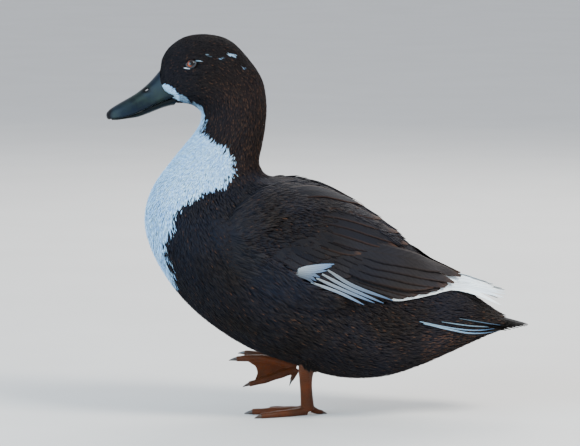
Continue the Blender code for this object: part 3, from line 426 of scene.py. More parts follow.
def close_up(obj):
    """Fills a mesh's open ends and turns all its faces outwards."""
    mesh = bmesh.new()
    mesh.from_mesh(obj.data)
    bmesh.ops.holes_fill(mesh, edges=[edge for edge in mesh.edges if edge.is_boundary])
    bmesh.ops.recalc_face_normals(mesh, faces=mesh.faces)
    mesh.to_mesh(obj.data)
    mesh.free()
    obj.data.shade_smooth()
    return obj


def ring_mesh(name, rings):
    """A closed tube through rings, its ends closed by flat caps."""
    rings = np.asarray(rings, float)
    return close_up(quick_mesh(name, rings.reshape(-1, 3), tube_faces(*rings.shape[:2]).reshape(-1, 4)))


def set_map(obj, u, v):
    """Writes the OFBake map from one place for each point."""
    layer = obj.data.uv_layers.new(name="OFBake")
    corners = np.empty(len(obj.data.loops), np.int32)
    obj.data.loops.foreach_get("vertex_index", corners)
    places = np.clip(np.stack([u, v], axis=1), 0.0, 1.0)[corners]
    layer.data.foreach_set("uv", places.astype(np.float32).ravel())


def point_value(obj, name, values):
    """Stores one number for each point of a mesh."""
    layer = obj.data.attributes.new(name, "FLOAT", "POINT")
    layer.data.foreach_set("value", np.asarray(values, np.float32).ravel())


# How much the edges of a small feather droop against its half width
DROOP = 0.16
# Outline of a small feather as half widths at places along it, its thickness against its half width, how many
# places its blade has, and how far it sways to the side against its length
SMALL_OUTLINE = ((0.0, 0.3, 0.6, 0.85, 1.0), (0.45, 0.85, 1.0, 0.78, 0.14))
SMALL_THICK, BLADE_PLACES, SWAY = 0.10, 4, 0.10
# Size of one feather's patch on the bake map
PATCH = 0.003


def strands(spine, normal, half, thick):
    """Closed blades of three corners along many spines at once: points of shape (blades, places, 3, 3).

    thick is a blade's thickness against its half width.
    """
    ahead = unit(np.gradient(spine, axis=1))
    side = unit(np.cross(ahead, normal))
    up = unit(np.cross(side, ahead))
    profile = np.interp(np.linspace(0.0, 1.0, spine.shape[1]), *SMALL_OUTLINE)
    width = (half[:, None] * profile)[..., None]
    ridge = ((half * thick)[:, None] * np.minimum(1.0, profile * 1.6))[..., None]
    return np.stack([spine + side * width - up * width * DROOP, spine + up * ridge,
                     spine - side * width - up * width * DROOP], axis=2)


def small_blades(name, points, white, tone, rust, u, v):
    """One object from many small blades, with the numbers its material reads and its bake map."""
    count, places = points.shape[:2]
    strip = tube_faces(places, 3).reshape(-1, 4)
    ends = np.array([(0, 1, 2), (places * 3 - 1, places * 3 - 2, places * 3 - 3)])
    first = (np.arange(count) * places * 3)[:, None, None]
    quads, triangles = (strip[None] + first).reshape(-1, 4), (ends[None] + first).reshape(-1, 3)
    underside = np.tile(np.arange(len(strip)) % 3 == 2, count)
    flat = np.concatenate([underside, np.ones(len(triangles), bool)])
    obj = quick_mesh(name, points.reshape(-1, 3), quads, triangles, flat)
    each = places * 3
    across = np.tile(np.array([1.0, 0.0, -1.0]), count * places)
    along = np.tile(np.repeat(np.linspace(0.0, 1.0, places), 3), count)
    for key, values in (("white", np.repeat(white, each)), ("tone", np.repeat(tone, each)),
                        ("rust", np.repeat(rust, each)), ("along", along), ("across", across)):
        point_value(obj, key, values)
    bake_map(obj, u, v, each, along, across * 0.5 + 0.5)
    return obj


def body_map(t, theta):
    """Places on the bake map's unwrap of the skin for places on the body."""
    return t / RUMP_END * 0.98 + 0.01, theta / FULL_TURN


def bake_map(obj, root_u, root_v, points_each, patch_u, patch_v):
    """The OFBake map: each blade is a small patch at its root's place on an unwrap of the skin."""
    u = np.repeat(root_u, points_each) + (patch_u - 0.5) * PATCH
    v = np.repeat(root_v, points_each) + (patch_v - 0.5) * PATCH
    set_map(obj, u, v)


def lay_feathers(name, t, theta, length, half, root_lift, tip_lift, white, rust, rng):
    """Small feathers over the body, each following the surface backwards from its root."""
    count = len(t)
    step = 1e-2
    pace = lengths(body_points(t + step, theta) - body_points(t - step, theta)) / (2 * step)
    reach = length / np.maximum(pace, 1.0)
    spread = lengths(body_points(t, theta + step) - body_points(t, theta - step)) / (2 * step)
    drift = rng.normal(0.0, SWAY, count) * length / np.maximum(spread, 2.0)
    along = np.linspace(0.0, 1.0, BLADE_PLACES)
    ts = t[:, None] + reach[:, None] * along
    over = np.maximum(0.0, ts - (len(SECTIONS) - 1))
    ts = np.minimum(ts, len(SECTIONS) - 1)
    thetas = theta[:, None] + drift[:, None] * along ** 1.5
    spots = body_points(ts, thetas)
    normals = body_normals(ts.ravel(), thetas.ravel()).reshape(spots.shape)
    lift = root_lift[:, None] + (tip_lift - root_lift)[:, None] * along ** 0.8
    spine = spots + normals * lift[..., None]
    spine[..., 0] += over * pace[:, None]
    points = strands(spine, normals, half, SMALL_THICK)
    return small_blades(name, points, white, rng.random(count), rust, *body_map(t, theta % FULL_TURN))


def scatter(start, stop, share, rng):
    """Places for feathers over the body between two sections, in staggered rows with even spacing.

    share widens or narrows the spacing against its default.
    """
    ts, thetas = [], []
    t, row = start, 0
    fine, step_ahead = np.linspace(0, FULL_TURN, 181), 0.05
    while t < stop:
        ring = body_points(t, fine)
        ahead = lengths(body_points(t + step_ahead, fine) - ring) / step_ahead
        arc = np.concatenate([[0.0], np.cumsum(lengths(np.diff(ring, axis=0)))])
        row_step = ROW_STEP(t) * share
        count = max(8, int(arc[-1] / (COLUMN_STEP(t) * share)))
        stray = rng.uniform(-COLUMN_STRAY, COLUMN_STRAY, count)
        at = (np.arange(count) + 0.5 * (row % 2) + stray) / count * arc[-1]
        theta = np.interp(at % arc[-1], arc, fine)
        pace = np.interp(theta, fine, ahead)
        dt = row_step / ahead.max()
        keep = rng.random(count) < np.clip(pace * dt / row_step * ROW_FILL, 0.0, 1.0)
        ts.append(t + rng.uniform(-ROW_STRAY, ROW_STRAY, count)[keep] * dt)
        thetas.append(theta[keep])
        t += dt
        row += 1
    return np.concatenate(ts), np.concatenate(thetas)


def by_place(table):
    """A function of the place along the body from pairs of place and value."""
    table = np.array(table, float)
    return lambda t: np.interp(t, table[:, 0], table[:, 1])


# Sizes of the small feathers along the body: length, half width, rise of the tip, and the steps between rows
# and between neighbours in a row
FEATHER_LENGTH = by_place(((0, 3.0), (2, 3.5), (5, 4.6), (8, 6.2), (11, 8.5), (13, 10.5), (16, 12.5),
                           (19, 14.5), (27, 14.5)))
FEATHER_HALF = by_place(((0, 0.42), (5, 0.48), (8, 0.58), (11, 0.72), (13, 0.85), (16, 1.05), (19, 1.2),
                         (27, 1.2)))
TIP_LIFT = by_place(((0, 0.0), (2, -0.5), (8, -0.3), (11, 0.4), (13, 0.7), (27, 0.8)))
ROW_STEP = by_place(((0, 1.1), (5, 1.4), (8, 1.8), (11, 2.2), (13, 2.4), (16, 2.8), (19, 3.1), (27, 3.1)))
COLUMN_STEP = by_place(((0, 0.85), (5, 1.0), (8, 1.2), (11, 1.35), (13, 1.5), (16, 1.75), (19, 2.0),
                        (27, 2.0)))
# How deep the roots lie against the coat's depth, and how far the coat reaches under a wing's edge
ROOT_SHARE, UNDER_WING = 0.8, 9.0
# How far feathers stray along and across their rows, against the spacing, and how many are kept where rows
# run close together
ROW_STRAY, COLUMN_STRAY, ROW_FILL = 0.45, 0.3, 1.25
# Ranges of a feather's length, half width and rise against their usual values
LENGTH_RANGE, HALF_RANGE, LIFT_RANGE = (0.85, 1.15), (0.8, 1.15), (0.5, 1.2)


def coat_part(name, start, stop, seed, share, keep=None):
    """One stretch of the body's coat of small feathers."""
    rng = np.random.default_rng(seed)
    t, theta = scatter(start, stop, share, rng)
    points = body_points(t, theta)
    wanted = ~in_wing(points, UNDER_WING)
    if keep is not None:
        wanted &= keep(points, t)
    t, theta, points = t[wanted], theta[wanted], points[wanted]
    length = FEATHER_LENGTH(t) * rng.uniform(*LENGTH_RANGE, len(t))
    half = FEATHER_HALF(t) * rng.uniform(*HALF_RANGE, len(t))
    roots = -ROOT_SHARE * np.interp(t, *zip(*COAT_DEPTH))
    white = markings(points, t, rng)
    tips = TIP_LIFT(t) * rng.uniform(*LIFT_RANGE, len(t))
    return lay_feathers(name, t, theta, length, half, roots, tips, white, rusty(points, t, rng), rng)


# Depth of the roots of the feathers that lap over the wings
BAND_ROOT = -1.0

# Mantle between the wings: the places along the body that it covers, how far it reaches to either side, the
# stretch over which it rises behind the neck, how far its feathers lie over the skin at distances from the
# middle, and their length and half width
SADDLE_PLACES, SADDLE_REACH = (13.0, 22.0), 31.0
SADDLE_X, SADDLE_FRONT = (-66.0, 88.0), 34.0
SADDLE_LIFT = ((0.0, 7.0, 15.0, 31.0), (0.3, 0.9, 2.8, 5.0))
SADDLE_LENGTH, SADDLE_HALF = (14.0, 20.0), (1.0, 1.7)


def saddle(seed, share):
    """The soft feathers of the back that close the gap between the folded wings."""
    rng = np.random.default_rng(seed)
    t, theta = scatter(*SADDLE_PLACES, share, rng)
    points, normals = body_points(t, theta), body_normals(t, theta)
    aside = np.abs(points[:, 1])
    wanted = (aside < SADDLE_REACH) & (normals[:, 2] > 0.5)
    wanted &= (points[:, 0] > SADDLE_X[0]) & (points[:, 0] < SADDLE_X[1])
    t, theta, points, aside = t[wanted], theta[wanted], points[wanted], aside[wanted]
    count = len(t)
    rise = np.interp(aside, *SADDLE_LIFT) * rng.uniform(0.85, 1.05, count)
    rise *= np.clip((points[:, 0] - SADDLE_X[0]) / SADDLE_FRONT, 0.0, 1.0)
    length, half = rng.uniform(*SADDLE_LENGTH, count), rng.uniform(*SADDLE_HALF, count)
    roots, white = np.full(count, BAND_ROOT), np.zeros(count)
    return lay_feathers("coat_saddle", t, theta, length, half, roots, rise, white, rusty(points, t, rng), rng)


def markings(points, t, rng):
    """How white each feather rooted at those points is, from 0 to 1."""
    white = np.maximum(bib(points, rng), np.where(t < MARKED_TO, face_marks(points, rng), 0.0))
    dot = np.hypot(points[:, 0] - CHEEK_DOT[0], points[:, 2] - CHEEK_DOT[1]) < CHEEK_DOT[2]
    return np.where(dot, 0.0, white)


def rusty(points, t, rng):
    """How brown each feather's fringe is: often on the nape, belly and under the tail, seldom elsewhere."""
    x, z = points[:, 0], points[:, 2]
    nape = np.clip((x - NAPE_X[0]) / NAPE_X[1], 0.0, 1.0) * np.clip((NAPE_Z[0] - z) / NAPE_Z[1], 0.0, 1.0)
    nape = nape * (t < NAPE_TO)
    belly = np.clip((BELLY_Z[0] - z) / BELLY_Z[1], 0.0, 1.0) * (t > BELLY_FROM)
    under_tail = (x > UNDER_TAIL[0]) & (z < UNDER_TAIL[1] + 4.0 * np.sin(x * 0.4))
    often = FLECKS + NAPE_FLECKS * nape + BELLY_FLECKS * belly + TAIL_FLECKS * under_tail
    flecked = rng.random(len(t)) < often
    brown = rng.uniform(0.4, 1.0, len(t))
    return np.where(flecked, brown, PLAIN_BROWN + NAPE_BROWN * nape + BELLY_BROWN * belly)


# Bands of soft feathers that lap over a folded wing's edges and cover its front. Roots lie between two lines
# drawn in side view, and tips at heights over the body that grow from the first line to the second. Headings
# are pairs of x and degrees above level. All bands lie low where the wing begins and rise behind that
BANDS = {
    "flank": dict(count=2500, length=(15.0, 22.0), half=(0.9, 1.4), height=(0.8, 6.4),
                  low=((-108, 196), (-104, 172), (-90, 150), (-70, 134), (-44, 122), (-22, 115), (0, 110)),
                  high=((-92, 184), (-80, 173), (-62, 165), (-46, 156), (-30, 143), (-12, 132), (8, 122)),
                  heading=((-108, 4), (-80, -14), (-50, -30), (-20, -22), (10, -8))),
    "mantle": dict(count=3200, length=(12.0, 19.0), half=(0.9, 1.5), height=(3.8, 6.2),
                   low=((-98, 184), (-84, 206), (-58, 226), (-24, 232), (8, 225), (40, 208), (70, 186)),
                   high=((-76, 174), (-62, 186), (-42, 199), (-16, 208), (12, 206), (40, 193), (66, 176)),
                   heading=((-95, 30), (-70, 14), (-40, -2), (0, -20), (60, -34))),
    "coverts": dict(count=1700, length=(10.0, 17.0), half=(1.2, 2.1), height=(5.0, 5.2),
                    low=((-83, 182), (-72, 170), (-50, 156), (-24, 144), (0, 136)),
                    high=((-83, 192), (-64, 208), (-40, 218), (-12, 216), (14, 200)),
                    heading=((-90, 0), (-40, -14), (20, -24))),
}
# Where a wing begins and over what length the bands rise, how many places a band's feather has, how far its
# heading strays in degrees, the share of feathers with a brown fringe, and the brown of the others
WING_FRONT, WING_RISE = -84.0, 30.0
BAND_PLACES, HEADING_STRAY, BAND_FLECKS, BAND_BROWN = 5, 6, 0.03, 0.04
# Height of a band's feather at its root against its full height, and how fast it grows along the feather
BAND_START, BAND_GROWTH = 0.25, 1.3


def band_feathers(name, band, side, seed):
    """One band of soft feathers on one side of the body."""
    rng = np.random.default_rng(seed)
    count = band["count"]
    along_band, across_band = rng.random(count), rng.random(count)
    low, high = at_share(band["low"], along_band), at_share(band["high"], along_band)
    spots = between((low, high), across_band[:, None])
    along = np.linspace(0, 1, BAND_PLACES)
    length = rng.uniform(*band["length"], count)
    heading = np.interp(spots[:, 0], *zip(*band["heading"])) + rng.normal(0, HEADING_STRAY, count)
    heading = np.radians(heading)
    step = np.stack([np.cos(heading), np.sin(heading)], axis=1) * length[:, None]
    path = spots[:, None, :] + step[:, None, :] * along[None, :, None]
    base, normals = (made.reshape(count, BAND_PLACES, 3)
                     for made in wing_places(path[..., 0].ravel(), path[..., 1].ravel()))
    top = between(band["height"], across_band) * rng.uniform(0.8, 1.05, count)
    height = BAND_ROOT + (top[:, None] - BAND_ROOT) * np.minimum(1.0, BAND_START + along * BAND_GROWTH)
    height = height * np.clip((path[..., 0] - WING_FRONT) / WING_RISE, 0.0, 1.0) ** 0.5
    spine = (base + normals * height[..., None]) * mirror(side)
    points = strands(spine, normals * mirror(side), rng.uniform(*band["half"], count), SMALL_THICK)
    t, theta = locate(*spots.T)
    u, v = body_map(t, theta if side > 0 else FULL_TURN - theta)
    rust = np.where(rng.random(count) < BAND_FLECKS, rng.uniform(0.2, 0.8, count), BAND_BROWN)
    return small_blades(name, points, np.zeros(count), rng.random(count), rust, u, v)


# Rows of the skin's mesh over the head and behind it, its columns, its tone, and the brown against the coat's
SKIN_ROWS, SKIN_COLUMNS, SKIN_TONE, SKIN_BROWN, SKIN_SEED = (90, 150), 128, 0.4, 0.5, 3


def skin_mesh():
    """The skin of head, neck, torso and rump as one closed form inside the coat."""
    ts = np.concatenate([np.linspace(FACE_START, NECK_START, SKIN_ROWS[0]),
                         np.linspace(NECK_START, RUMP_END, SKIN_ROWS[1])[1:]])
    thetas = turns(SKIN_COLUMNS)
    depth = np.interp(ts, *zip(*COAT_DEPTH))
    points = body_points(ts[:, None], thetas[None, :], -depth[:, None])
    obj = ring_mesh("skin", points)
    points, t = points.reshape(-1, 3), np.repeat(ts, SKIN_COLUMNS)
    rng = np.random.default_rng(SKIN_SEED)
    point_value(obj, "white", markings(points, t, rng))
    point_value(obj, "tone", np.full(len(points), SKIN_TONE))
    point_value(obj, "rust", rusty(points, t, rng) * SKIN_BROWN)
    set_map(obj, *body_map(t, np.tile(thetas, len(ts))))
    return obj


# Feather tiers of a folded wing in side view, each from its lowest feather to its highest: the lines that its
# feathers cross from root to tip, half widths, height over the body at root and tip, where the tip starts to
# narrow and how pointed it is, how white the lowest and the highest are, the range of their tones from dark
# to light, and how brown their fringes are at most
WING_TIERS = (
    # primaries
    dict(count=8, half=(5.0, 6.6), lift=(1.6, 2.1), tip=(0.62, 0.8), white=(1, 1),
         tone=(0.0, 0.2), rust=0.0,
         lines=(((18, 142), (30, 154)), ((66, 123.0), (70, 139)), ((88, 121.5), (90, 140)),
                ((110, 126), (108, 141)), ((142, 129.5), (140, 138)),
                ((182, 113), (187.5, 121.5), (184, 125), (174, 129), (162, 133)))),
    # secondaries, light in tone and brown at the fringes, partly as painted sunlight on the rear wing
    dict(count=7, half=(8.0, 9.5), lift=(3.0, 3.8), tip=(0.86, 0.5), white=(0, 0),
         tone=(0.5, 1.0), rust=0.3,
         lines=(((-6, 148), (30, 158)), ((30, 133), (74, 143)),
                ((62, 123.0), (88, 121.5), (110, 126), (129, 132)))),
    # tertials, light in tone and brown at the fringes, partly as painted sunlight on the rear wing
    dict(count=4, half=(10.0, 12.0), lift=(4.6, 6.6), tip=(0.55, 0.85), white=(0, 0),
         tone=(0.6, 1.0), rust=0.6,
         lines=(((20, 152), (32, 168)), ((72, 137), (88, 154)),
                ((112, 127), (126, 128), (136, 130.5), (143.5, 136.2)))),
    # greater coverts
    dict(count=7, half=(7.0, 8.5), lift=(3.4, 4.8), tip=(0.8, 0.5), white=(0, 0),
         tone=(0.0, 0.8), rust=0.16,
         lines=(((-40, 168), (10, 178)), ((-14, 152), (40, 163)), ((10, 138), (76, 150)))),
    # median coverts
    dict(count=7, half=(6.5, 8.0), lift=(3.4, 5.0), tip=(0.75, 0.5), white=(0, 0),
         tone=(0.0, 0.7), rust=0.16,
         lines=(((-58, 174), (-14, 190)), ((-36, 162), (14, 178)), ((-16, 150), (40, 168)))),
    # scapulars, the lower ones longer; their tones are kept dark as painted shade against the sky's light on
    # their upturned vanes
    dict(count=7, half=(9.0, 10.5), lift=(3.0, 5.2), tip=(0.62, 0.65), white=(0, 0),
         tone=(0.0, 0.4), rust=0.6,
         lines=(((-30, 186), (-26, 206), (-38, 219)), ((8, 174), (30, 191), (0, 221)),
                ((42, 162), (85, 169.5), (42, 207)))),
    dict(count=7, half=(7.5, 9.0), lift=(0.4, 3.6), tip=(0.66, 0.6), white=(0, 0),
         tone=(0.0, 0.3), rust=0.12,
         lines=(((-52, 192), (-50, 210), (-58, 224)), ((-24, 187), (-16, 204), (-28, 226)),
                ((4, 179), (21, 195), (4, 223)))),
    # white patch under the coverts, and the narrow feathers that run on from it to the wing's lower edge;
    # their white is kept low and their high tones turn it blue at the tips, both as painted shade
    dict(count=6, half=(1.5, 2.6), lift=(5.0, 5.8), tip=(0.45, 0.8), white=(0.12, 0.32),
         tone=(0.8, 1.0), rust=0.0,
         lines=(((-24, 143.5), (-20, 148)), ((-12, 139.5), (-4, 150)),
                ((-4, 134.5), (0, 139.5), (9, 147.5), (15, 152.8)))),
    dict(count=4, half=(1.5, 1.8), lift=(5.2, 5.6), tip=(0.5, 0.7), white=(0.32, 0.2),
         tone=(0.8, 1.0), rust=0.0,
         lines=(((-8, 135.5), (8, 147)), ((20, 125.0), (33, 131.5)), ((44, 112.5), (72, 116.5)))),
)
# Narrow pale edges of the outer tail feathers along the side of the rump, from the lowest up
RUMP_TIER = dict(count=4, half=(0.8, 0.4), lift=(1.0, 1.4), tip=(0.5, 0.8), white=(0.55, 0.2),
                 tone=(0.0, 1.0), rust=0.0,
                 lines=(((104, 93.5), (100, 95.5), (122, 95), (140, 98)),
                        ((132, 87), (128, 89.5), (142, 92), (156, 95.2)),
                        ((155, 83.7), (156, 86.6), (160, 90.3), (172, 92.6)),
                        ((184, 86.6), (180, 88.4), (190, 89.2), (187.5, 90.3))))
# How much higher each feather of a tier lies than the one below it, its tilt in degrees, how far its tip
# strays, and how many places it is drawn through
FEATHER_STEP, SHINGLE_TILT, TIP_STRAY, PATH_PLACES = 0.05, 2.2, 0.9, 9
# A flight feather's thickness and camber, its shaft's height, and its mesh: places along it and columns on
# either side of the shaft
VANE_THICK, VANE_CAMBER, SHAFT_HEIGHT, VANE_PLACES, VANE_COLUMNS = 0.24, 0.05, 0.35, 20, 4
# The least share of its half width that a vane's edge keeps, and the free rim of its cell on the bake map
VANE_SPLIT, CELL_EDGE = 0.965, 0.06
# A vane's width at its root against its full width, how fast it widens, the least that is left at its tip,
# how slim its shaft is, how much the shaft sinks towards the tip, and how soon the vane is at its tip's height
VANE_ROOT, VANE_WIDENS, VANE_END, SHAFT_SLIM, SHAFT_SINKS, VANE_RISES = 0.5, 2.2, 0.08, 5.0, 0.8, 2.2
# Ranges of a flight feather's brown and white against its tier's
RUST_RANGE, WHITE_RANGE = (0.3, 1.0), (0.8, 1.0)


def long_feather(path, normals, half, tip, thick, twist, rng):
    """Points of one closed flight feather with a raised shaft: two sheets that share a rim."""
    spots = np.linspace(0, len(path) - 1, VANE_PLACES)
    spine, up = spline(path, spots), unit(spline(normals, spots))
    ahead = unit(np.gradient(spine, axis=0))
    side = unit(np.cross(ahead, up))
    up = unit(np.cross(side, ahead))
    c, s = math.cos(math.radians(twist)), math.sin(math.radians(twist))
    side, up = side * c + up * s, up * c - side * s
    along = np.linspace(0, 1, VANE_PLACES)
    narrowing = np.clip((along - tip[0]) / (1 - tip[0]), 0, 1)
    width = half * np.minimum(VANE_ROOT + along * VANE_WIDENS, 1.0)
    width = width * np.maximum(VANE_END, 1 - narrowing ** 2) ** tip[1]
    across = np.linspace(1, -1, 2 * VANE_COLUMNS + 1)
    rings = []
    for i in range(VANE_PLACES):
        split = rng.uniform(VANE_SPLIT, 1.0, 2)
        ring = []
        for a in across:
            reach = width[i] * (split[0] if a > 0 else split[1])
            ridge = SHAFT_HEIGHT * max(0.0, 1 - abs(a) * SHAFT_SLIM) * (1 - along[i] * SHAFT_SINKS)
            ring.append(spine[i] + side[i] * a * reach + up[i] * (ridge - VANE_CAMBER * reach * a * a))
        for a in across[::-1][1:-1]:
            reach = width[i] * (split[0] if a > 0 else split[1])
            drop = VANE_CAMBER * reach * a * a + thick * (1 - a * a)
            ring.append(spine[i] + side[i] * a * reach - up[i] * drop)
        rings.append(ring)
    return np.array(rings)


def feather_values(points, white, tone, rust):
    """One flight feather's points with the numbers that its material reads at each of them."""
    places, corners = points.shape[:2]
    row = np.concatenate([np.linspace(1, -1, corners // 2 + 1), np.linspace(-1, 1, corners // 2 + 1)[1:-1]])
    along, across = np.repeat(np.linspace(0, 1, places), corners), np.tile(row, places)
    full = np.ones(places * corners)
    return dict(points=points.reshape(-1, 3), white=white * full, tone=tone * full, rust=rust * full,
                along=along, across=across)


def tier_feathers(tiers, side, rng, places_at=wing_places):
    """The flight feathers of all tiers on one side."""
    made = []
    for tier in tiers:
        for i, share in enumerate(np.linspace(0, 1, tier["count"])):
            spots = [at_share(line, share)[0] for line in tier["lines"]]
            spots[-1] = spots[-1] + rng.uniform(-TIP_STRAY, TIP_STRAY, 2)
            along = np.linspace(0, 1, PATH_PLACES)[:, None]
            path, normals = places_at(*at_share(spots, along[:, 0]).T)
            lift = between(tier["lift"], np.minimum(1.0, along * VANE_RISES)) + FEATHER_STEP * i
            path = (path + normals * lift) * mirror(side)
            points = long_feather(path, normals * mirror(side), between(tier["half"], share), tier["tip"],
                                  VANE_THICK, -side * SHINGLE_TILT, rng)
            rust = tier["rust"] * rng.uniform(*RUST_RANGE)
            tone = rng.uniform(*tier["tone"])
            white = between(tier["white"], share) * rng.uniform(*WHITE_RANGE)
            made.append(feather_values(points, white, tone, rust))
    return made


def join_feathers(name, feathers):
    """One object from many flight feathers, with its bake map as rows of separate strips."""
    count = len(feathers)
    joined = {key: np.concatenate([feather[key] for feather in feathers]) for key in feathers[0]}
    corners = len(feathers[0]["points"]) // VANE_PLACES
    strip = tube_faces(VANE_PLACES, corners)
    # both sheets split along the same diagonals, so that neither shows through the other
    strip[:, corners // 2:] = np.roll(strip[:, corners // 2:], -1, axis=-1)
    strip = strip.reshape(-1, 4)
    first = (np.arange(count) * VANE_PLACES * corners)[:, None, None]
    obj = close_up(quick_mesh(name, joined["points"], (strip[None] + first).reshape(-1, 4)))
    for key in ("white", "tone", "along", "across", "rust"):
        point_value(obj, key, joined[key])
    columns = int(math.ceil(math.sqrt(count)))
    cell = 1.0 / columns
    number = np.repeat(np.arange(count), VANE_PLACES * corners)
    u = (number % columns + CELL_EDGE + joined["along"] * (1 - 2 * CELL_EDGE)) * cell
    v = (number // columns + CELL_EDGE + (joined["across"] * 0.5 + 0.5) * (1 - 2 * CELL_EDGE)) * cell
    set_map(obj, u, v)
    return obj


def wing_pad(name, side):
    """The wing's own skin under its coverts."""
    top, bottom = [], []
    across = np.linspace(0, 1, PAD_COLUMNS)
    round_off = (1 - (2 * across - 1) ** 4)[:, None]
    for along in np.linspace(0.0, PAD_REACH, PAD_STEPS):
        edges = at_share(WING_UPPER, along)[0], at_share(WING_LOWER, along)[0]
        base, normals = wing_places(*between(edges, across[:, None]).T)
        fade = min(1.0, along / PAD_FRONT) ** 0.5 * min(1.0, (PAD_REACH - along) / PAD_REAR + 0.2)
        top.append(base + normals * (0.2 + (PAD_THICK - 1.0) * fade * round_off))
        bottom.append(base - normals * PAD_SINK)
    obj = ring_mesh(name, np.concatenate([np.array(top), np.array(bottom)[:, ::-1]], axis=1) * mirror(side))
    for key in ("white", "tone", "along"):
        point_value(obj, key, np.zeros(len(obj.data.vertices)))
    return obj


# Tail feathers from the middle pair outwards: roots, tips, the furthest that a tip may reach, how many pairs,
# half widths, how far they lean outwards in degrees, how far each lies under the one before, how they narrow
# to the tip, their thickness, their arch, and how brown they are
TAIL_ROOTS = np.array([(140.0, 3.0, 106.5), (146.0, 20.0, 99.5)])
TAIL_TIPS = np.array([(211.0, 4.0, 91.6), (207.5, 13.0, 92.4), (199.0, 22.0, 92.6), (187.0, 29.0, 92.0)])
TAIL_END, TAIL_PAIRS, TAIL_HALF, TAIL_LEAN, TAIL_STEP = 210.5, 9, (7.5, 6.0), 8.0, 0.36
TAIL_TIP, TAIL_THICK, TAIL_ARCH, TAIL_BROWN, TAIL_SEED = (0.66, 0.7), 0.3, 1.8, 0.05, 31
# How far their tips stray, and the shares of it along, across and upwards
TAIL_STRAY, STRAY_SHARES = 0.6, (1.0, 0.6, 0.2)


def tail_fan():
    """All tail feathers, the middle pair on top, with the pale edges beside the rump."""
    rng = np.random.default_rng(TAIL_SEED)
    made = []
    for _, side in SIDES:
        for i, share in enumerate(np.linspace(0, 1, TAIL_PAIRS)):
            root = between(TAIL_ROOTS, share)
            tip = spline(TAIL_TIPS, share * 3)[0] + rng.uniform(-TAIL_STRAY, TAIL_STRAY, 3) * STRAY_SHARES
            tip[0] = min(tip[0], TAIL_END)
            sink = np.array([0.0, 0.0, TAIL_STEP * (i + (0.5 if side > 0 else 0.0))])
            middle = (root + tip) / 2 + (0.0, 0.0, TAIL_ARCH)
            path = np.array([root, (root + middle) / 2, middle, (middle + tip) / 2, tip]) - sink
            lean = math.radians(TAIL_LEAN) * share
            normals = np.array([(0.25, math.sin(lean), math.cos(lean))] * len(path))
            points = long_feather(path * mirror(side), normals * mirror(side), between(TAIL_HALF, share),
                                  TAIL_TIP, TAIL_THICK, 0.0, rng)
            made.append(feather_values(points, 0.0, rng.random(), TAIL_BROWN))
        made += tier_feathers((RUMP_TIER,), side, rng, side_places)
    return made


def socket_frame(side):
    """Centre of an eyeball and the outward direction there."""
    t, theta = np.meshgrid(np.linspace(1, 8, 141), np.linspace(0.05, math.pi - 0.05, 121), indexing="ij")
    points = body_points(t, theta)
    nearest = np.argmin(np.hypot(points[..., 0] - EYE_PLACE[0], points[..., 2] - EYE_PLACE[1]))
    spot = points.reshape(-1, 3)[nearest] * mirror(side)
    normal = unit(np.array([EYE_AHEAD, side * EYE_OUT, EYE_UP]))
    return spot - normal * EYE_DEPTH, normal


def ball(name, centre, axis, radius, bulge):
    """An eyeball whose pole looks along the axis, with a little more bulge at the pole."""
    axis = unit(axis)
    side = unit(np.cross(axis, (0.0, 0.0, 1.0)))
    up = np.cross(side, axis)
    rows = []
    for polar in np.linspace(0.02, math.pi - 0.02, 32):
        reach = radius + bulge * math.exp(-(polar / 0.5) ** 2)
        wide = math.sin(polar) * reach
        rows.append(oval(centre + axis * math.cos(polar) * reach, side * wide, up * wide, 48))
    return ring_mesh(name, rows)


def lid_ring(name, side):
    """A rim round one eye: an oval ring bent with the head."""
    centre, normal = socket_frame(side)
    tilt = math.radians(LID_TILT)
    forward = np.array([-math.cos(tilt), 0.0, -math.sin(tilt)])
    forward = unit(forward - normal * np.dot(forward, normal))
    upward = np.cross(forward, normal) * side
    if upward[2] < 0:
        upward = -upward
    around, tube = 48, 10
    rings = []
    for turn in turns(around):
        c, s = math.cos(turn), math.sin(turn)
        spot = centre + normal * (EYE_DEPTH + LID_LIFT) + forward * LID_LENGTH * c
        spot = spot + upward * LID_HEIGHT * (1.0 - LID_DROOP * max(0.0, s)) * s
        rings.append(oval(spot, LID_THICK * unit(forward * c + upward * s), LID_THICK * 0.8 * normal, tube))
    i, j = np.meshgrid(np.arange(around), np.arange(tube), indexing="ij")
    here, there, behind = i * tube, (i + 1) % around * tube, (j + 1) % tube
    faces = np.stack([here + j, here + behind, there + behind, there + j], axis=-1)
    return close_up(quick_mesh(name, np.concatenate(rings), faces.reshape(-1, 4)))


def lid_mark(name, side):
    """The short pale line under the eye."""
    centre, normal = socket_frame(side)
    rings = []
    for share in np.linspace(-1, 1, 14):
        spot = np.array([EYE_PLACE[0] + MARK_SHIFT[0] + MARK_LENGTH * share,
                         (centre + normal * (EYE_DEPTH + MARK_LIFT))[1],
                         EYE_PLACE[1] + MARK_SHIFT[1] - MARK_FALL * share])
        size = MARK_HEIGHT * math.sqrt(max(0.02, 1 - share * share))
        rings.append(oval(spot, (0.0, size * 0.7, 0.0), (0.0, 0.0, size), 10))
    return ring_mesh(name, rings)


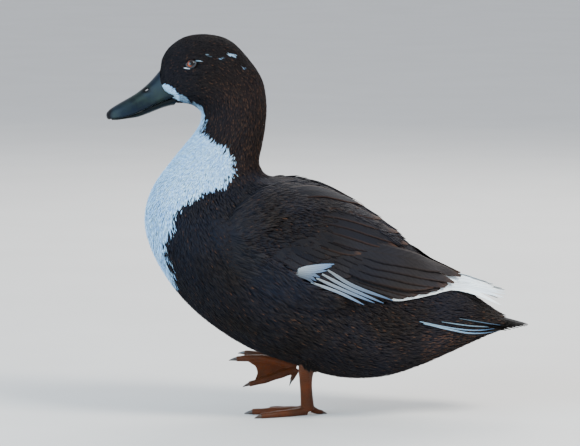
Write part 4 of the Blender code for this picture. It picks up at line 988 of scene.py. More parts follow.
def bill_rings(rows, steps, around, top):
    """Rings of one half of the bill: a dome over the mouth line, or a keel under it."""
    rings = []
    for t in np.linspace(0, len(rows) - 1, steps):
        first_x, first_z, second_x, second_z, width = spline(rows, t)[0]
        mouth, ridge = np.array([first_x, first_z]), np.array([second_x, second_z])
        if top:
            mouth, ridge = ridge, mouth
        ring = []
        for turn in np.linspace(-math.pi / 2, math.pi / 2, around):
            spot = mouth + (ridge - mouth) * abs(math.cos(turn)) ** DOME
            lip = LIP_HEIGHT * math.exp(-((abs(turn) - math.pi / 2) / LIP_WIDTH) ** 2) if top else 0.0
            aside = (width + lip) * math.copysign(abs(math.sin(turn)) ** FLANKS, turn)
            ring.append((spot[0], aside, spot[1]))
        hollow = mouth + (ridge - mouth) * HOLLOW
        for share in np.linspace(0.85, -0.85, 9):
            ring.append((hollow[0], width * share, hollow[1]))
        rings.append(ring)
    return rings


def nostril_outline():
    """The nostril's outline in side view."""
    x, z, long, high, _ = NOSTRIL
    slope = math.radians(NOSTRIL_TURN)
    c, s = math.cos(slope), math.sin(slope)
    return oval((x, z), (long * c, -long * s), (high * s, high * c), 28)


def nail_mesh(name):
    """The nail as a flattened ball at the bill's tip."""
    x, z, long, high, wide = NAIL
    rows = []
    for polar in np.linspace(0.03, math.pi - 0.03, 24):
        s = math.sin(polar)
        middle = (x, 0.0, z + high * math.cos(polar))
        rows.append(oval(middle, (long * s, 0.0, 0.0), (0.0, wide * s, 0.0), 32))
    return ring_mesh(name, rows)


def cut(obj, others):
    """Cuts the others out of the object and removes them."""
    for other in others:
        modifier = obj.modifiers.new("cut", "BOOLEAN")
        modifier.operation = "DIFFERENCE"
        modifier.object = other
        modifier.solver = "MANIFOLD"
    bake_modifiers(obj)
    for other in others:
        bpy.data.objects.remove(other)


def bake_modifiers(obj):
    """Replaces the object's mesh by what its modifiers make of it."""
    graph = bpy.context.evaluated_depsgraph_get()
    made = bpy.data.meshes.new_from_object(obj.evaluated_get(graph))
    old = obj.data
    obj.modifiers.clear()
    obj.data = made
    bpy.data.meshes.remove(old)
    made.shade_smooth()


def prism(name, outline, half_depth):
    """A side-view outline pushed out to both sides."""
    outline = np.asarray(outline, float)
    rings = [[(x, y, z) for x, z in outline] for y in (-half_depth, half_depth)]
    return ring_mesh(name, rings)


# Legs, as centre lines with a half depth and a half width at each place, as in the solids. Toes are round
SHANKS = {
    "left": ((-9.0, -29.0, 60.0, 7.4, 6.4), (-11.5, -24.0, 50.0, 8.0, 6.6), (-12.2, -18.0, 39.0, 6.6, 5.0),
             (-11.8, -12.0, 27.0, 6.1, 4.6), (-11.0, -6.0, 15.0, 6.4, 5.0), (-10.5, -2.0, 6.0, 7.0, 6.5)),
    "right": ((18.0, 36.0, 66.0, 7.0, 6.0), (10.0, 35.0, 60.0, 7.6, 6.2), (0.0, 33.0, 54.0, 6.0, 4.6),
              (-10.0, 31.0, 49.0, 5.6, 4.3), (-19.0, 29.0, 44.5, 6.2, 5.2)),
}
TOES = {
    "left": {
        "inner": ((-12.0, 0.5, 4.6, 4.8), (-24.0, 7.5, 3.1, 4.1), (-36.0, 14.0, 2.7, 3.6),
                  (-48.0, 19.5, 2.2, 2.9)),
        "middle": ((-12.0, -1.5, 4.8, 5.2), (-29.0, -1.0, 3.4, 4.5), (-47.0, -0.5, 3.0, 4.0),
                   (-66.0, 0.0, 2.3, 3.1)),
        "outer": ((-12.0, -3.5, 4.6, 4.8), (-26.0, -11.5, 3.2, 4.2), (-41.0, -19.0, 2.8, 3.7),
                  (-57.0, -26.0, 2.2, 2.9)),
        "hind": ((-6.0, -0.5, 5.4, 3.4), (-0.5, 1.0, 2.9, 2.8), (4.5, 2.5, 1.7, 2.3)),
    },
    "right": {
        "inner": ((-22.0, 27.5, 42.0, 4.4), (-38.0, 22.0, 37.0, 3.7), (-55.0, 16.0, 32.0, 3.3),
                  (-69.0, 12.0, 29.0, 2.6)),
        "middle": ((-22.0, 29.0, 44.0, 4.8), (-42.0, 29.0, 50.0, 4.1), (-62.0, 29.0, 53.0, 3.7),
                   (-82.0, 29.5, 52.0, 2.8)),
        "outer": ((-22.0, 30.5, 44.0, 4.4), (-39.0, 36.0, 50.5, 3.8), (-57.0, 41.0, 54.5, 3.4),
                  (-74.0, 45.0, 56.0, 2.7)),
        "hind": ((-21.0, 27.5, 42.0, 3.2), (-24.0, 26.0, 36.0, 2.5), (-26.5, 24.5, 31.0, 1.9)),
    },
}
CLAW_LENGTHS = {"inner": 7.0, "middle": 8.0, "outer": 7.0, "hind": 5.0}
# Size of a claw's root against its toe, how far it narrows, starts inside the toe, and bends down
CLAW_ROOT, CLAW_TAPER, CLAW_INSET, CLAW_BEND = 0.78, 0.84, 1.2, 1.2
# Toes joined by a web, its thickness, how far it reaches along them, how hollow its front edge is, and the
# height and number of its folds
WEBS = (("inner", "middle"), ("middle", "outer"))
WEB_THICK, WEB_REACH, WEB_SCALLOP, WEB_FOLD, WEB_FOLDS = 1.3, 0.9, 0.2, 0.25, 7
# Height of the rings of scales against the limb's size and their spacing, height and spacing of a toe's
# knuckles, the cells of the mesh that joins a leg's pieces, and the half length and drop of the ankle's core
SCALE_HEIGHT, SCALE_STEP, KNUCKLE_HEIGHT, KNUCKLE_STEP, LEG_CELL = 0.05, 2.6, 0.05, 17.0, 0.55
CORE_LENGTH, CORE_DROP = 6.4, 0.6


def limb(name, rows, steps, around, on_floor=False):
    """A limb along a centre line, with low rings of scales."""
    rows = np.asarray(rows, float)
    if rows.shape[1] == 4:
        rows = np.concatenate([rows, rows[:, 3:4]], axis=1)
    places = spline(rows, np.linspace(0, len(rows) - 1, steps))
    run = np.concatenate([[0.0], np.cumsum(lengths(np.diff(places[:, :3], axis=0)))])
    rings = []
    for i, (x, y, z, deep, wide) in enumerate(places):
        ahead = unit(places[min(i + 1, steps - 1), :3] - places[max(i - 1, 0), :3])
        upright = abs(ahead[2]) > 0.6
        across = unit(np.cross(ahead, (1.0, 0.0, 0.0) if upright else (0.0, 0.0, 1.0)))
        size = 1.0 + SCALE_HEIGHT * (abs(math.sin(run[i] * math.pi / SCALE_STEP)) - 0.6)
        if not upright:
            size *= 1.0 + KNUCKLE_HEIGHT * math.cos(run[i] * FULL_TURN / KNUCKLE_STEP)
        ring = oval((x, y, z), across * wide * size, np.cross(ahead, across) * deep * size, around)
        if on_floor:
            ring[:, 2] = np.maximum(ring[:, 2], 0.0)
        rings.append(ring)
    return ring_mesh(name, rings)


def web_sheet(name, first, second):
    """The skin between two toes, a thin sheet with a hollow front edge and fine folds."""
    first, second = np.asarray(first, float)[:, :3], np.asarray(second, float)[:, :3]
    last = len(first) - 1
    low, high = [], []
    for along in np.linspace(0.05, 1.0, 26):
        for rows, lift in ((low, -1), (high, 1)):
            row = []
            for across in np.linspace(0, 1, 22):
                arch = math.sin(math.pi * across)
                reach = along * last * WEB_REACH * (1 - WEB_SCALLOP * arch)
                spot = spline(first, reach)[0] * (1 - across) + spline(second, reach)[0] * across
                fold = WEB_FOLD * math.sin(across * math.pi * WEB_FOLDS) * arch * along
                row.append(spot + (0.0, 0.0, lift * WEB_THICK / 2 + fold))
            rows.append(row)
    return ring_mesh(name, np.concatenate([np.array(high), np.array(low)[:, ::-1]], axis=1))


def melt(name, pieces):
    """One continuous skin from several overlapping closed pieces."""
    mesh = bmesh.new()
    for piece in pieces:
        mesh.from_mesh(piece.data)
        bpy.data.objects.remove(piece)
    made = bpy.data.meshes.new(name)
    mesh.to_mesh(made)
    mesh.free()
    obj = bpy.data.objects.new(name, made)
    bpy.context.scene.collection.objects.link(obj)
    remesh = obj.modifiers.new("remesh", "REMESH")
    remesh.mode = "VOXEL"
    remesh.voxel_size = LEG_CELL * MM
    soften = obj.modifiers.new("soften", "SMOOTH")
    soften.factor = 0.5
    soften.iterations = 3
    bake_modifiers(obj)
    return obj


def claw_mesh(name, toe, length, on_floor):
    """A claw beyond the end of a toe, bending down to a blunt point."""
    toe = np.asarray(toe, float)
    ahead = unit(toe[-1, :3] - toe[-2, :3])
    radius = toe[-1, 3] * CLAW_ROOT
    across = unit(np.cross(ahead, (0.0, 0.0, 1.0)))
    rings = []
    for share in np.linspace(0, 1, 12):
        size = radius * (1 - CLAW_TAPER * share ** 1.3)
        spot = toe[-1, :3] + ahead * (-CLAW_INSET + (length + CLAW_INSET) * share)
        spot[2] -= CLAW_BEND * share ** 2
        if on_floor:
            spot[2] = max(spot[2], size + 0.05)
        rings.append(oval(spot, across * 0.8 * size, np.cross(ahead, across) * size, 20))
    return ring_mesh(name, rings)


def floor_points(obj):
    """Moves whatever is under the floor up onto it."""
    points = np.empty(len(obj.data.vertices) * 3, np.float32)
    obj.data.vertices.foreach_get("co", points)
    points = points.reshape(-1, 3)
    points[:, 2] = np.maximum(points[:, 2], 0.0)
    obj.data.vertices.foreach_set("co", points.ravel())
    obj.data.update()


# Feathers of the thighs round the top of each shank: place of the cuff's middle, its radius and its length
THIGH_TUFTS = {"left": ((-6.0, -30.0, 57.0), 11.5, 20.0), "right": ((2.0, 34.0, 56.0), 11.0, 20.0)}
# How many feathers a cuff has, their places, half width and thickness, the cuff's height, how oval it is, and
# how far the tips turn in
TUFT_COUNT, TUFT_PLACES, TUFT_HALF, TUFT_THICK = 520, 5, 1.3, 0.15
CUFF_HEIGHT, CUFF_OVAL, TUFT_TURN = 12.0, 1.25, 0.32


def thigh_feathers(name, seed):
    """The feathered cuff at the top of one leg."""
    middle, radius, length = THIGH_TUFTS[name]
    rng = np.random.default_rng(seed)
    shank = np.array(SHANKS[name], float)
    axis = unit(shank[2, :3] - shank[0, :3])
    across = unit(np.cross(axis, (1.0, 0.0, 0.0)))
    turn = rng.uniform(0, FULL_TURN, TUFT_COUNT)
    high = rng.uniform(0, 1, TUFT_COUNT)
    along = np.linspace(0, 1, TUFT_PLACES)
    out = across * np.cos(turn)[:, None] + np.cross(axis, across) * np.sin(turn)[:, None] * CUFF_OVAL
    root = np.array(middle) - axis * (high * CUFF_HEIGHT)[:, None]
    root = root + out * (radius * (0.75 + 0.35 * high))[:, None]
    tuft = rng.uniform(0.7, 1.1, TUFT_COUNT) * length * 0.5
    spine = root[:, None, :] + axis * (tuft[:, None] * along)[..., None]
    spine = spine - out[:, None, :] * (radius * TUFT_TURN * along[None, :] ** 1.4)[..., None]
    normals = np.broadcast_to(unit(out)[:, None, :], spine.shape)
    points = strands(spine, normals, np.full(TUFT_COUNT, TUFT_HALF), TUFT_THICK)
    return small_blades("thigh_feathers_" + name, points, np.zeros(TUFT_COUNT), rng.random(TUFT_COUNT),
                        rng.uniform(0.3, 1.0, TUFT_COUNT), 0.1 + 0.8 * turn / FULL_TURN, 0.2 + 0.6 * high)


class Nodes:
    """Adds and links the nodes of one material."""

    def __init__(self, name):
        self.material = bpy.data.materials.new(name)
        self.material.use_nodes = True
        self.tree = self.material.node_tree
        self.shader = self.tree.nodes["Principled BSDF"]

    def add(self, kind, **settings):
        """A new node."""
        node = self.tree.nodes.new("ShaderNode" + kind)
        for key, value in settings.items():
            setattr(node, key, value)
        return node

    def feed(self, socket, value):
        """Links an output to a socket, or sets the socket to a number or a colour."""
        if isinstance(value, bpy.types.NodeSocket):
            self.tree.links.new(value, socket)
        elif isinstance(value, (int, float)):
            socket.default_value = value
        else:
            socket.default_value = (*value, 1.0)

    def value(self, name):
        """A number stored on the mesh's points."""
        return self.add("Attribute", attribute_name=name).outputs["Fac"]

    def place(self):
        """The place on the object."""
        return self.add("TexCoord").outputs["Object"]

    def math(self, operation, first, second=0.5, clamp=False):
        """One step of arithmetic."""
        node = self.add("Math", operation=operation, use_clamp=clamp)
        self.feed(node.inputs[0], first)
        self.feed(node.inputs[1], second)
        return node.outputs[0]

    def times(self, first, second, clamp=False):
        """Product of two numbers."""
        return self.math("MULTIPLY", first, second, clamp)

    def plus(self, first, second):
        """Sum of two numbers."""
        return self.math("ADD", first, second)

    def minus(self, first, second, clamp=False):
        """The first number less the second."""
        return self.math("SUBTRACT", first, second, clamp)

    def mix(self, factor, first, second):
        """A colour between two others."""
        node = self.add("Mix", data_type="RGBA")
        for number, value in ((0, factor), (6, first), (7, second)):
            self.feed(node.inputs[number], value)
        return node.outputs[2]

    def ramp(self, factor, *stops):
        """A number or a colour that runs through stops as the factor grows."""
        node = self.add("ValToRGB")
        elements = node.color_ramp.elements
        for place, colour in stops[2:]:
            elements.new(place)
        for element, (place, colour) in zip(elements, stops):
            element.position = place
            element.color = (colour, colour, colour, 1.0) if isinstance(colour, float) else (*colour, 1.0)
        self.feed(node.inputs[0], factor)
        return node.outputs[0]

    def noise(self, scale, detail=3.0, roughness=0.5):
        """Soft irregular patches."""
        node = self.add("TexNoise")
        for key, value in (("Scale", scale), ("Detail", detail), ("Roughness", roughness),
                           ("Vector", self.place())):
            self.feed(node.inputs[key], value)
        return node.outputs["Fac"]

    def cell_edges(self, scale):
        """Distance to the edges of small cells."""
        node = self.add("TexVoronoi", feature="DISTANCE_TO_EDGE")
        self.feed(node.inputs["Scale"], scale)
        self.feed(node.inputs["Vector"], self.place())
        return node.outputs["Distance"]

    def bump(self, height, strength, distance):
        """Fine relief on the shader."""
        node = self.add("Bump")
        for key, value in (("Strength", strength), ("Distance", distance), ("Height", height)):
            self.feed(node.inputs[key], value)
        self.feed(self.shader.inputs["Normal"], node.outputs["Normal"])

    def done(self, colour, roughness, **values):
        """Sets the shader's colour, roughness and other inputs, and returns the material."""
        self.feed(self.shader.inputs["Base Color"], colour)
        self.feed(self.shader.inputs["Roughness"], roughness)
        for key, value in values.items():
            self.shader.inputs[key.replace("_", " ")].default_value = value
        return self.material


# Plumages: where a feather's brown fringe starts, how strong the sheen is, and how light the blacks are. The
# blacks are set piece by piece, in part as painted light and shade, such as the tail's black darkened against
# the sky's grey sheen on it
PLUMAGES = {
    "head plumage": (0.45, 0.5, 2.1),
    "body plumage": (0.72, 0.9, 2.5),
    "skin down": (0.5, 0.0, 1.0),
    "flight feathers": (0.88, 0.5, 2.4),
    "small coverts": (0.75, 0.9, 1.9),
    "tail feathers": (0.93, 0.3, 0.5),
    "thigh plumage": (0.6, 0.1, 1.0),
}
# Barbs: strength and depth in metres of their relief, how dark they are, how many there are along and across
# a feather, and how far noise shifts them
BARB_BUMP, BARB_DEPTH, BARB_SHADE, BARBS_ALONG, BARBS_ACROSS, BARB_SHIFT = 0.3, 0.00012, 0.35, 90.0, 14.0, 9.0
# A shaft's half width against the feather's, and how strong its colour is
SHAFT_HALF, SHAFT_STRENGTH = 0.07, 0.3
# How light the lower bill is against the upper one
LOWER_SHADE = 0.4
# Black of the painted shade round the nostrils, the nail's edge, the pupil and the iris's rim
NOSTRIL_SHADE_BLACK, NAIL_EDGE = (0.001, 0.0015, 0.002), (0.004, 0.004, 0.005)
PUPIL_BLACK, IRIS_RIM = (0.002, 0.002, 0.002), (0.006, 0.003, 0.003)
# The colours of iris and pupil run over 5 mm, so a millimetre is this share
IRIS_SHARE = 0.2
# Plain materials: colour, colour of the darker mottling, roughness, and size of the mottling
PLAINS = {
    "lid skin": ((0.012, 0.013, 0.018), (0.004, 0.004, 0.006), 0.45, 700.0),
    "lid edge": ((0.62, 0.66, 0.72), (0.30, 0.34, 0.40), 0.5, 700.0),
    "nail horn": ((0.010, 0.010, 0.012), (0.003, 0.003, 0.004), 0.3, 500.0),
    "claw horn": ((0.07, 0.042, 0.03), (0.02, 0.012, 0.01), 0.35, 500.0),
    "pale floor": ((0.60, 0.595, 0.58), (0.57, 0.565, 0.55), 0.85, 6.0),
}


def shaded(shade, *colours):
    """Colours made lighter or darker by one factor."""
    return [tuple(shade * value for value in colour) for colour in colours]


def plumage_material(name, sizes, white_colour=None):
    """Black plumage, white where the mesh says so, with brown fringes and a cold sheen.

    white_colour takes the place of the bib's white, which is tinted blue as painted sky shade.
    """
    fringe_from, sheen, shade = PLUMAGES[name]
    made = Nodes(name)
    tone, along, white, rust = (made.value(key) for key in ("tone", "along", "white", "rust"))
    across = made.math("ABSOLUTE", made.value("across"))
    dark, light, cold = shaded(shade, sizes.black_dark, sizes.black_light, sizes.blue_sheen)
    barb = made.minus(made.times(along, BARBS_ALONG), made.times(across, BARBS_ACROSS))
    wave = made.math("SINE", made.plus(barb, made.times(made.noise(260.0, 2.0), BARB_SHIFT)))
    black = made.mix(made.times(tone, made.ramp(along, (0.25, 0.25), (0.95, 1.0))), dark, light)
    black = made.mix(made.times(made.minus(made.noise(14.0, 2.0), 0.35, True), sheen), black, cold)
    black = made.mix(made.times(wave, BARB_SHADE, True), black, dark)
    rim = made.times(made.ramp(across, (0.72, 0.0), (1.0, 1.0)), along)
    fringe = made.math("MAXIMUM", made.ramp(along, (fringe_from, 0.0), (1.0, 1.0)), rim)
    black = made.mix(made.times(fringe, rust, True), black, sizes.rust)
    # towards the tips of feathers of high tone the white turns to a darker blue painted shade
    pale = made.mix(made.times(tone, along), white_colour or sizes.white, sizes.white_painted_shade)
    shaft = made.times(made.math("LESS_THAN", across, SHAFT_HALF), SHAFT_STRENGTH)
    made.bump(wave, BARB_BUMP, BARB_DEPTH)
    return made.done(made.mix(shaft, made.mix(white, black, pale), sizes.shaft),
                     made.plus(made.times(white, 0.10), 0.64), Specular_IOR_Level=0.05)


def bill_material(name, sizes, shade=1.0):
    """Green-mottled slate bill with a painted blue sheen, painted shade round the nostrils, and a darker nail.
    """
    made = Nodes(name)
    place = made.add("SeparateXYZ")
    made.feed(place.inputs[0], made.place())
    mottle, streak = made.noise(95.0, 5.0, 0.6), made.noise(30.0, 2.0)
    dark, green, blue = shaded(shade, sizes.bill_dark, sizes.bill_green, sizes.bill_blue_sheen)
    colour = made.mix(made.ramp(mottle, (0.38, 0.0), (0.66, 1.0)), dark, green)
    # the blue streaks are a painted sheen of the sky on the slate
    colour = made.mix(made.ramp(streak, (0.48, 0.0), (0.7, 1.0)), colour, blue)
    along, above = (made.times(made.minus(place.outputs[axis], middle * MM), 1 / (half * MM))
                    for axis, middle, half in zip("XZ", NOSTRIL, NOSTRIL_SHADE_REACH))
    away = made.plus(made.times(along, along), made.times(above, above))
    # painted shade darkens the bill round each nostril's hole
    colour = made.mix(made.ramp(away, (0.35, 1.0), (1.0, 0.0)), colour, NOSTRIL_SHADE_BLACK)
    nail = made.add("MapRange")
    for number, value in enumerate((place.outputs["X"], NAIL_BLACK[0] * MM, NAIL_BLACK[1] * MM)):
        made.feed(nail.inputs[number], value)
    made.bump(made.noise(420.0, 4.0), 0.25, 0.0003)
    return made.done(made.mix(nail.outputs[0], colour, NAIL_EDGE),
                     made.ramp(mottle, (0.3, 0.26), (0.7, 0.42)), Specular_IOR_Level=0.10)


def eye_material(sizes, name, side):
    """Wet eye: orange iris, dark rim, and a wide black pupil set high and back as painted lid shadow."""
    made = Nodes("eye " + name)
    centre, axis = socket_frame(side)
    fleck = made.times(made.minus(made.noise(900.0, 3.0), 0.5), 0.3)

    def distance(shift):
        """Shares of 5 mm from the line through the eyeball's centre, moved by shift, along its axis."""
        away = made.add("VectorMath", operation="SUBTRACT")
        made.feed(away.inputs[0], made.place())
        away.inputs[1].default_value = tuple((centre + shift) * MM)
        turn = made.add("VectorMath", operation="CROSS_PRODUCT")
        made.feed(turn.inputs[0], away.outputs[0])
        turn.inputs[1].default_value = tuple(axis)
        reach = made.add("VectorMath", operation="LENGTH")
        made.feed(reach.inputs[0], turn.outputs[0])
        return made.times(made.plus(made.times(reach.outputs["Value"], 1 / MM), fleck), IRIS_SHARE)

    # painted light and shade: the iris shows only as a lit crescent low in front, the pupil's black covers its
    # top
    iris = made.ramp(distance(PAINTED_LIGHT_IRIS_SHIFT), (0.3, sizes.iris), (0.56, sizes.iris_dark), (0.62, IRIS_RIM))
    pupil = made.ramp(distance(PAINTED_SHADE_PUPIL_SHIFT), (0.42, 1.0), (0.48, 0.0))
    return made.done(made.mix(pupil, iris, PUPIL_BLACK), 0.12, Specular_IOR_Level=0.2, Coat_Weight=0.3,
                     Coat_Roughness=0.03)


def leg_material(sizes):
    """Orange skin with small scales and browner patches."""
    made = Nodes("webbed leg skin")
    patch = made.noise(60.0, 4.0, 0.6)
    seams = made.ramp(made.cell_edges(620.0), (0.0, 0.0), (0.10, 1.0))
    colour = made.mix(made.ramp(patch, (0.35, 0.0), (0.7, 1.0)), sizes.leg_dark, sizes.leg)
    colour = made.mix(made.times(made.minus(1.0, seams), 0.6), colour, sizes.leg_seam)
    made.bump(seams, 0.6, 0.0004)
    return made.done(colour, made.ramp(patch, (0.3, 0.40), (0.8, 0.58)), Subsurface_Weight=0.08,
                     Subsurface_Scale=0.002, Specular_IOR_Level=0.2)


def plain_material(name):
    """One colour with fine mottling and relief."""
    colour, dark, roughness, scale = PLAINS[name]
    made = Nodes(name)
    mottle = made.noise(scale, 4.0)
    made.bump(mottle, 0.4, 0.0002)
    return made.done(made.mix(made.ramp(mottle, (0.3, 0.0), (0.75, 1.0)), dark, colour), roughness)


def colour_setting(name, description, default):
    """A colour that a user can change."""
    return FloatVectorProperty(name=name, description=description, default=default, subtype="COLOR", size=3,
                               min=0.0, max=1.0)


class DuckSizes(bpy.types.PropertyGroup):
    """Sizes and colours of the duck's looks."""

    feather_share: FloatProperty(name="Feather spacing", description="Spacing of small feathers",
                                 default=1.0, min=0.8, max=3.0, subtype="FACTOR")
    seed: IntProperty(name="Seed", description="Start of every random draw", default=11)
    black_dark: colour_setting("Darkest plumage", "Black of the darkest feathers", (0.0022, 0.0021, 0.0026))
    black_light: colour_setting("Lighter plumage", "Black of the lighter feathers", (0.0098, 0.0084, 0.0076))
    blue_sheen: colour_setting("Sheen", "Cold sheen of the back and breast", (0.0062, 0.0095, 0.020))
    rust: colour_setting("Fringes", "Brown of the feather fringes", (0.11, 0.055, 0.031))
    shaft: colour_setting("Shaft", "Brown of the feather shafts", (0.012, 0.009, 0.008))
    # The bib's white is tinted blue as painted sky shade; the wings' white below stays near white
    white: colour_setting("White", "White of the bib", (0.57, 0.83, 1.0))
    white_wing: colour_setting("White, wings", "White of the primaries", (0.84, 0.90, 0.91))
    # Darker blue white, painted shade at the tips of some white feathers
    white_painted_shade: colour_setting("White, shaded", "White of some feathers' tips", (0.22, 0.46, 0.86))
    bill_dark: colour_setting("Bill, dark", "Darkest colour of the bill", (0.005, 0.008, 0.010))
    bill_green: colour_setting("Bill, green", "Green slate of the bill", (0.011, 0.019, 0.015))
    # Blue streaks of the bill, a painted sheen of the sky
    bill_blue_sheen: colour_setting("Bill, blue", "Blue slate of the bill", (0.004, 0.009, 0.023))
    iris: colour_setting("Iris", "Orange of the iris", (0.29, 0.046, 0.007))
    iris_dark: colour_setting("Iris, dark", "Darker ring of the iris", (0.085, 0.012, 0.003))
    # The legs' colours are darkened, in part as painted shade over their orange
    leg: colour_setting("Leg", "Orange of the legs", (0.110, 0.021, 0.0014))
    leg_dark: colour_setting("Leg, dark", "Brown patches of the legs", (0.055, 0.016, 0.004))
    leg_seam: colour_setting("Leg seams", "Colour between the scales", (0.060, 0.016, 0.008))
    camera_height: FloatProperty(name="Camera elevation", description="Angle of the camera above the horizon",
                                 default=math.radians(6.3), subtype="ANGLE")
    camera_distance: FloatProperty(name="Camera distance", description="How far away the camera stands",
                                   default=4.0, unit="LENGTH")


def dress(obj, material, nodes=()):
    """Gives a piece its material, body and slot, and hides the solids that it stands for."""
    obj.data.materials.clear()
    obj.data.materials.append(material)
    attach(obj, "root")
    if nodes:
        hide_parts(*nodes)
    return obj


def on_face(points, t):
    """Which feathers of the head stay: those behind the bill's base and off the bare skin round the eye."""
    x, z = points[:, 0], points[:, 2]
    edge = BILL_EDGE[:FACE_EDGE]
    behind_bill = x > np.interp(z, edge[::-1, 1], edge[::-1, 0]) + BARE_STRIP
    below_mouth = (z < MOUTH_CORNER[1]) & (x > MOUTH_CORNER[0])
    eye = np.hypot((x - EYE_PLACE[0]) / EYE_BARE[0], (z - EYE_PLACE[1]) / EYE_BARE[1])
    return (behind_bill | below_mouth) & (eye > 1.0)


class DUCK_OT_coat(bpy.types.Operator):
    """Builds the skin and the small feathers of head, neck, body and rump"""

    bl_idname = "duck.coat"
    bl_label = "Skin and Coat"

    def execute(self, context):
        sizes = context.scene.duck_sizes
        head, body = (plumage_material(name, sizes) for name in ("head plumage", "body plumage"))
        skin = plumage_material("skin down", sizes)
        dress(skin_mesh(), skin, ("torso", "neck", "head", "tail"))
        seed, share = sizes.seed, sizes.feather_share
        dress(coat_part("coat_face", FACE_START, FACE_END, seed, share, on_face), head)
        dress(coat_part("coat_head", FACE_END, NECK_START, seed + 1, share, on_face), head)
        dress(coat_part("coat_neck", NECK_START, BODY_START, seed + 2, share), head)
        for number, (start, stop) in enumerate(BODY_COATS):
            for name, sign in SIDES:
                piece = coat_part("coat_%d_%s" % (number, name), start, stop, seed + 3 + number, share,
                                  lambda points, t, sign=sign: points[:, 1] * sign >= 0)
                dress(piece, body)
        dress(coat_part("coat_rump", RUMP_START, COAT_END, seed + 9, share), body)
        dress(saddle(seed + 12, share), body)
        for name, sign in SIDES:
            for offset, band in enumerate(("flank", "mantle")):
                piece = band_feathers(band + "_" + name, BANDS[band], sign, seed + 14 + offset)
                dress(piece, body)
        return {"FINISHED"}


class DUCK_OT_wings(bpy.types.Operator):
    """Builds both folded wings with their coverts, flight feathers and scapulars"""

    bl_idname = "duck.wings"
    bl_label = "Wings"

    def execute(self, context):
        sizes = context.scene.duck_sizes
        long = plumage_material("flight feathers", sizes, sizes.white_wing)
        small = plumage_material("small coverts", sizes)
        for number, (name, sign) in enumerate(SIDES):
            rng = np.random.default_rng(sizes.seed + 20 + number)
            feathers = join_feathers("wing_feathers_" + name, tier_feathers(WING_TIERS, sign, rng))
            dress(feathers, long, ("wing_" + name,))
            seed = sizes.seed + 30 + number
            coverts = band_feathers("wing_coverts_" + name, BANDS["coverts"], sign, seed)
            dress(coverts, small)
            dress(wing_pad("wing_skin_" + name, sign), small)
        return {"FINISHED"}


class DUCK_OT_tail(bpy.types.Operator):
    """Builds the fan of tail feathers"""

    bl_idname = "duck.tail"
    bl_label = "Tail"

    def execute(self, context):
        long = plumage_material("tail feathers", context.scene.duck_sizes)
        dress(join_feathers("tail_feathers", tail_fan()), long)
        return {"FINISHED"}


class DUCK_OT_eyes(bpy.types.Operator):
    """Builds the eyes and their lids"""

    bl_idname = "duck.eyes"
    bl_label = "Eyes"

    def execute(self, context):
        sizes = context.scene.duck_sizes
        lid, pale = plain_material("lid skin"), plain_material("lid edge")
        for name, sign in SIDES:
            centre, axis = socket_frame(sign)
            eye = ball("eyeball_" + name, centre, axis, EYE_BALL, EYE_BULGE)
            dress(eye, eye_material(sizes, name, sign), ("eye_" + name,))
            dress(lid_ring("lid_" + name, sign), lid)
            dress(lid_mark("lid_mark_" + name, sign), pale)
        return {"FINISHED"}


class DUCK_OT_bill(bpy.types.Operator):
    """Builds the bill with its nail and open nostrils"""

    bl_idname = "duck.bill"
    bl_label = "Bill"

    def execute(self, context):
        sizes = context.scene.duck_sizes
        zone = [tuple(p) for p in BILL_EDGE + (BILL_UNDER, 0.0)] + list(ZONE_CORNERS)
        upper = ring_mesh("bill_top", bill_rings(UPPER_BILL, 90, 49, True))
        cut(upper, [prism("nostrils", nostril_outline(), NOSTRIL[4]), prism("head_zone", zone, ZONE_DEPTH)])
        dress(upper, bill_material("slate bill", sizes), ("bill_upper",))
        lower = ring_mesh("bill_bottom", bill_rings(LOWER_BILL, 70, 33, False))
        cut(lower, [prism("head_zone", zone, ZONE_DEPTH)])
        dress(lower, bill_material("lower bill", sizes, LOWER_SHADE), ("bill_lower",))
        dress(nail_mesh("bill_nail"), plain_material("nail horn"))
        return {"FINISHED"}


class DUCK_OT_legs(bpy.types.Operator):
    """Builds shanks, webbed feet and claws"""

    bl_idname = "duck.legs"
    bl_label = "Legs"

    def execute(self, context):
        skin, horn = leg_material(context.scene.duck_sizes), plain_material("claw horn")
        for name, _ in SIDES:
            on_floor = name == "left"
            toes = TOES[name]
            pieces = [limb("shank", SHANKS[name], 90, 40)]
            pieces += [limb(toe, rows, 60, 32, on_floor) for toe, rows in toes.items()]
            pieces += [web_sheet("web", toes[first], toes[second]) for first, second in WEBS]
            # the ankle's core is a ball round an upright axis, which leaves it no width
            core = np.array(SHANKS[name][-1][:3]) - (0, 0, CORE_DROP)
            pieces.append(ball("core", core, (0.0, 0.0, 1.0), CORE_LENGTH, 0.0))
            leg = melt("leg_" + name, pieces)
            if on_floor:
                floor_points(leg)
            dress(leg, skin, ("shank_" + name, "foot_" + name))
            for toe, rows in toes.items():
                claw = claw_mesh("talon_" + toe + "_" + name, rows, CLAW_LENGTHS[toe], on_floor)
                dress(claw, horn, ("claw_" + toe + "_" + name,))
        return {"FINISHED"}


class DUCK_OT_thighs(bpy.types.Operator):
    """Builds the feathered cuffs at the top of the legs"""

    bl_idname = "duck.thighs"
    bl_label = "Thigh Feathers"

    def execute(self, context):
        sizes = context.scene.duck_sizes
        down = plumage_material("thigh plumage", sizes)
        for name, _ in SIDES:
            dress(thigh_feathers(name, sizes.seed + 50), down, ("thigh_" + name,))
        return {"FINISHED"}


# Half the floor's side, the sky's colour and strength, and where the lights and the camera aim, in metres
FLOOR_REACH = 12.0
SKY_COLOUR, SKY_STRENGTH = (0.86, 0.91, 1.0, 1.0), 1.1
LIGHT_AIM, CAMERA_AIM = (0.0, 0.0, 0.2), (-0.028, 0.0, 0.1935)
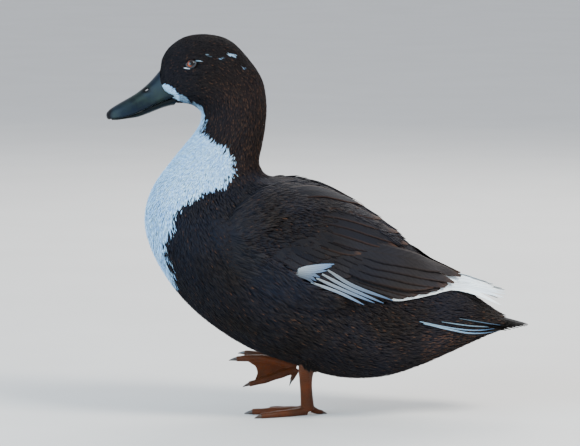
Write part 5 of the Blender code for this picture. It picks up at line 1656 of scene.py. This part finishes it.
# Lights: place, size, power and colour
LIGHTS = {
    "key": ((1.5, -1.3, 2.1), 0.9, 118.0, (1.0, 0.95, 0.87)),
    "back": ((0.4, 2.0, 1.8), 1.6, 57.0, (1.0, 0.97, 0.92)),
    "fill": ((-1.9, -1.6, 0.9), 1.8, 102.0, (0.48, 0.77, 1.0)),
}
# Width of the photo in pixels, each of which is a millimetre on the bird
PHOTO_WIDTH = 580


def look_at(obj, aim):
    """Turns a light or camera towards a point."""
    obj.rotation_euler = (Vector(aim) - obj.location).to_track_quat("-Z", "Y").to_euler()


def soft_light(name, place, size, power, colour):
    """An area light that looks at the bird."""
    data = bpy.data.lights.new(name, "AREA")
    data.energy, data.size, data.color = power, size, colour
    light = bpy.data.objects.new(name, data)
    light.location = place
    look_at(light, LIGHT_AIM)
    bpy.context.scene.collection.objects.link(light)


class DUCK_OT_stage(bpy.types.Operator):
    """Builds the floor, the lights and the camera"""

    bl_idname = "duck.stage"
    bl_label = "Stage"

    def execute(self, context):
        scene = context.scene
        reach = FLOOR_REACH / MM
        corners = [(x * reach, y * reach, 0.0) for x, y in ((-1, -1), (1, -1), (1, 1), (-1, 1))]
        floor = quick_mesh("floor", corners, [(0, 1, 2, 3)])
        floor.data.materials.append(plain_material("pale floor"))
        scene.world = scene.world or bpy.data.worlds.new("world")
        scene.world.use_nodes = True
        sky = scene.world.node_tree.nodes["Background"]
        sky.inputs["Color"].default_value = SKY_COLOUR
        sky.inputs["Strength"].default_value = SKY_STRENGTH
        for name, values in LIGHTS.items():
            soft_light(name, *values)
        data = bpy.data.cameras.new("camera")
        camera = bpy.data.objects.new("camera", data)
        scene.collection.objects.link(camera)
        scene.camera = camera
        distance, height = scene.duck_sizes.camera_distance, scene.duck_sizes.camera_height
        camera.location = Vector(CAMERA_AIM) + distance * Vector((0.0, -math.cos(height), math.sin(height)))
        look_at(camera, CAMERA_AIM)
        data.lens = data.sensor_width * distance / (PHOTO_WIDTH * MM)
        data.clip_end = 100.0
        return {"FINISHED"}


PIECES = (DUCK_OT_coat, DUCK_OT_wings, DUCK_OT_tail, DUCK_OT_eyes, DUCK_OT_bill, DUCK_OT_legs, DUCK_OT_thighs,
          DUCK_OT_stage)


class DUCK_PT_panel(bpy.types.Panel):
    """Lists the duck's sizes and pieces in the sidebar"""

    bl_label = "Duck"
    bl_idname = "DUCK_PT_panel"
    bl_space_type = "VIEW_3D"
    bl_region_type = "UI"
    bl_category = "Duck"

    def draw(self, context):
        layout = self.layout
        for name in DuckSizes.__annotations__:
            layout.prop(context.scene.duck_sizes, name)
        for piece in PIECES:
            layout.operator(piece.bl_idname)


CLASSES = (DuckSizes,) + PIECES + (DUCK_PT_panel,)


def register():
    """Makes the classes and the settings known."""
    for each in CLASSES:
        bpy.utils.register_class(each)
    bpy.types.Scene.duck_sizes = PointerProperty(type=DuckSizes)


def unregister():
    """Takes the classes and the settings away."""
    del bpy.types.Scene.duck_sizes
    for each in reversed(CLASSES):
        bpy.utils.unregister_class(each)


def main():
    """Builds every piece."""
    register()
    bpy.ops.duck.coat()
    bpy.ops.duck.wings()
    bpy.ops.duck.tail()
    bpy.ops.duck.eyes()
    bpy.ops.duck.bill()
    bpy.ops.duck.legs()
    bpy.ops.duck.thighs()
    bpy.ops.duck.stage()


if __name__ == "__main__":
    main()
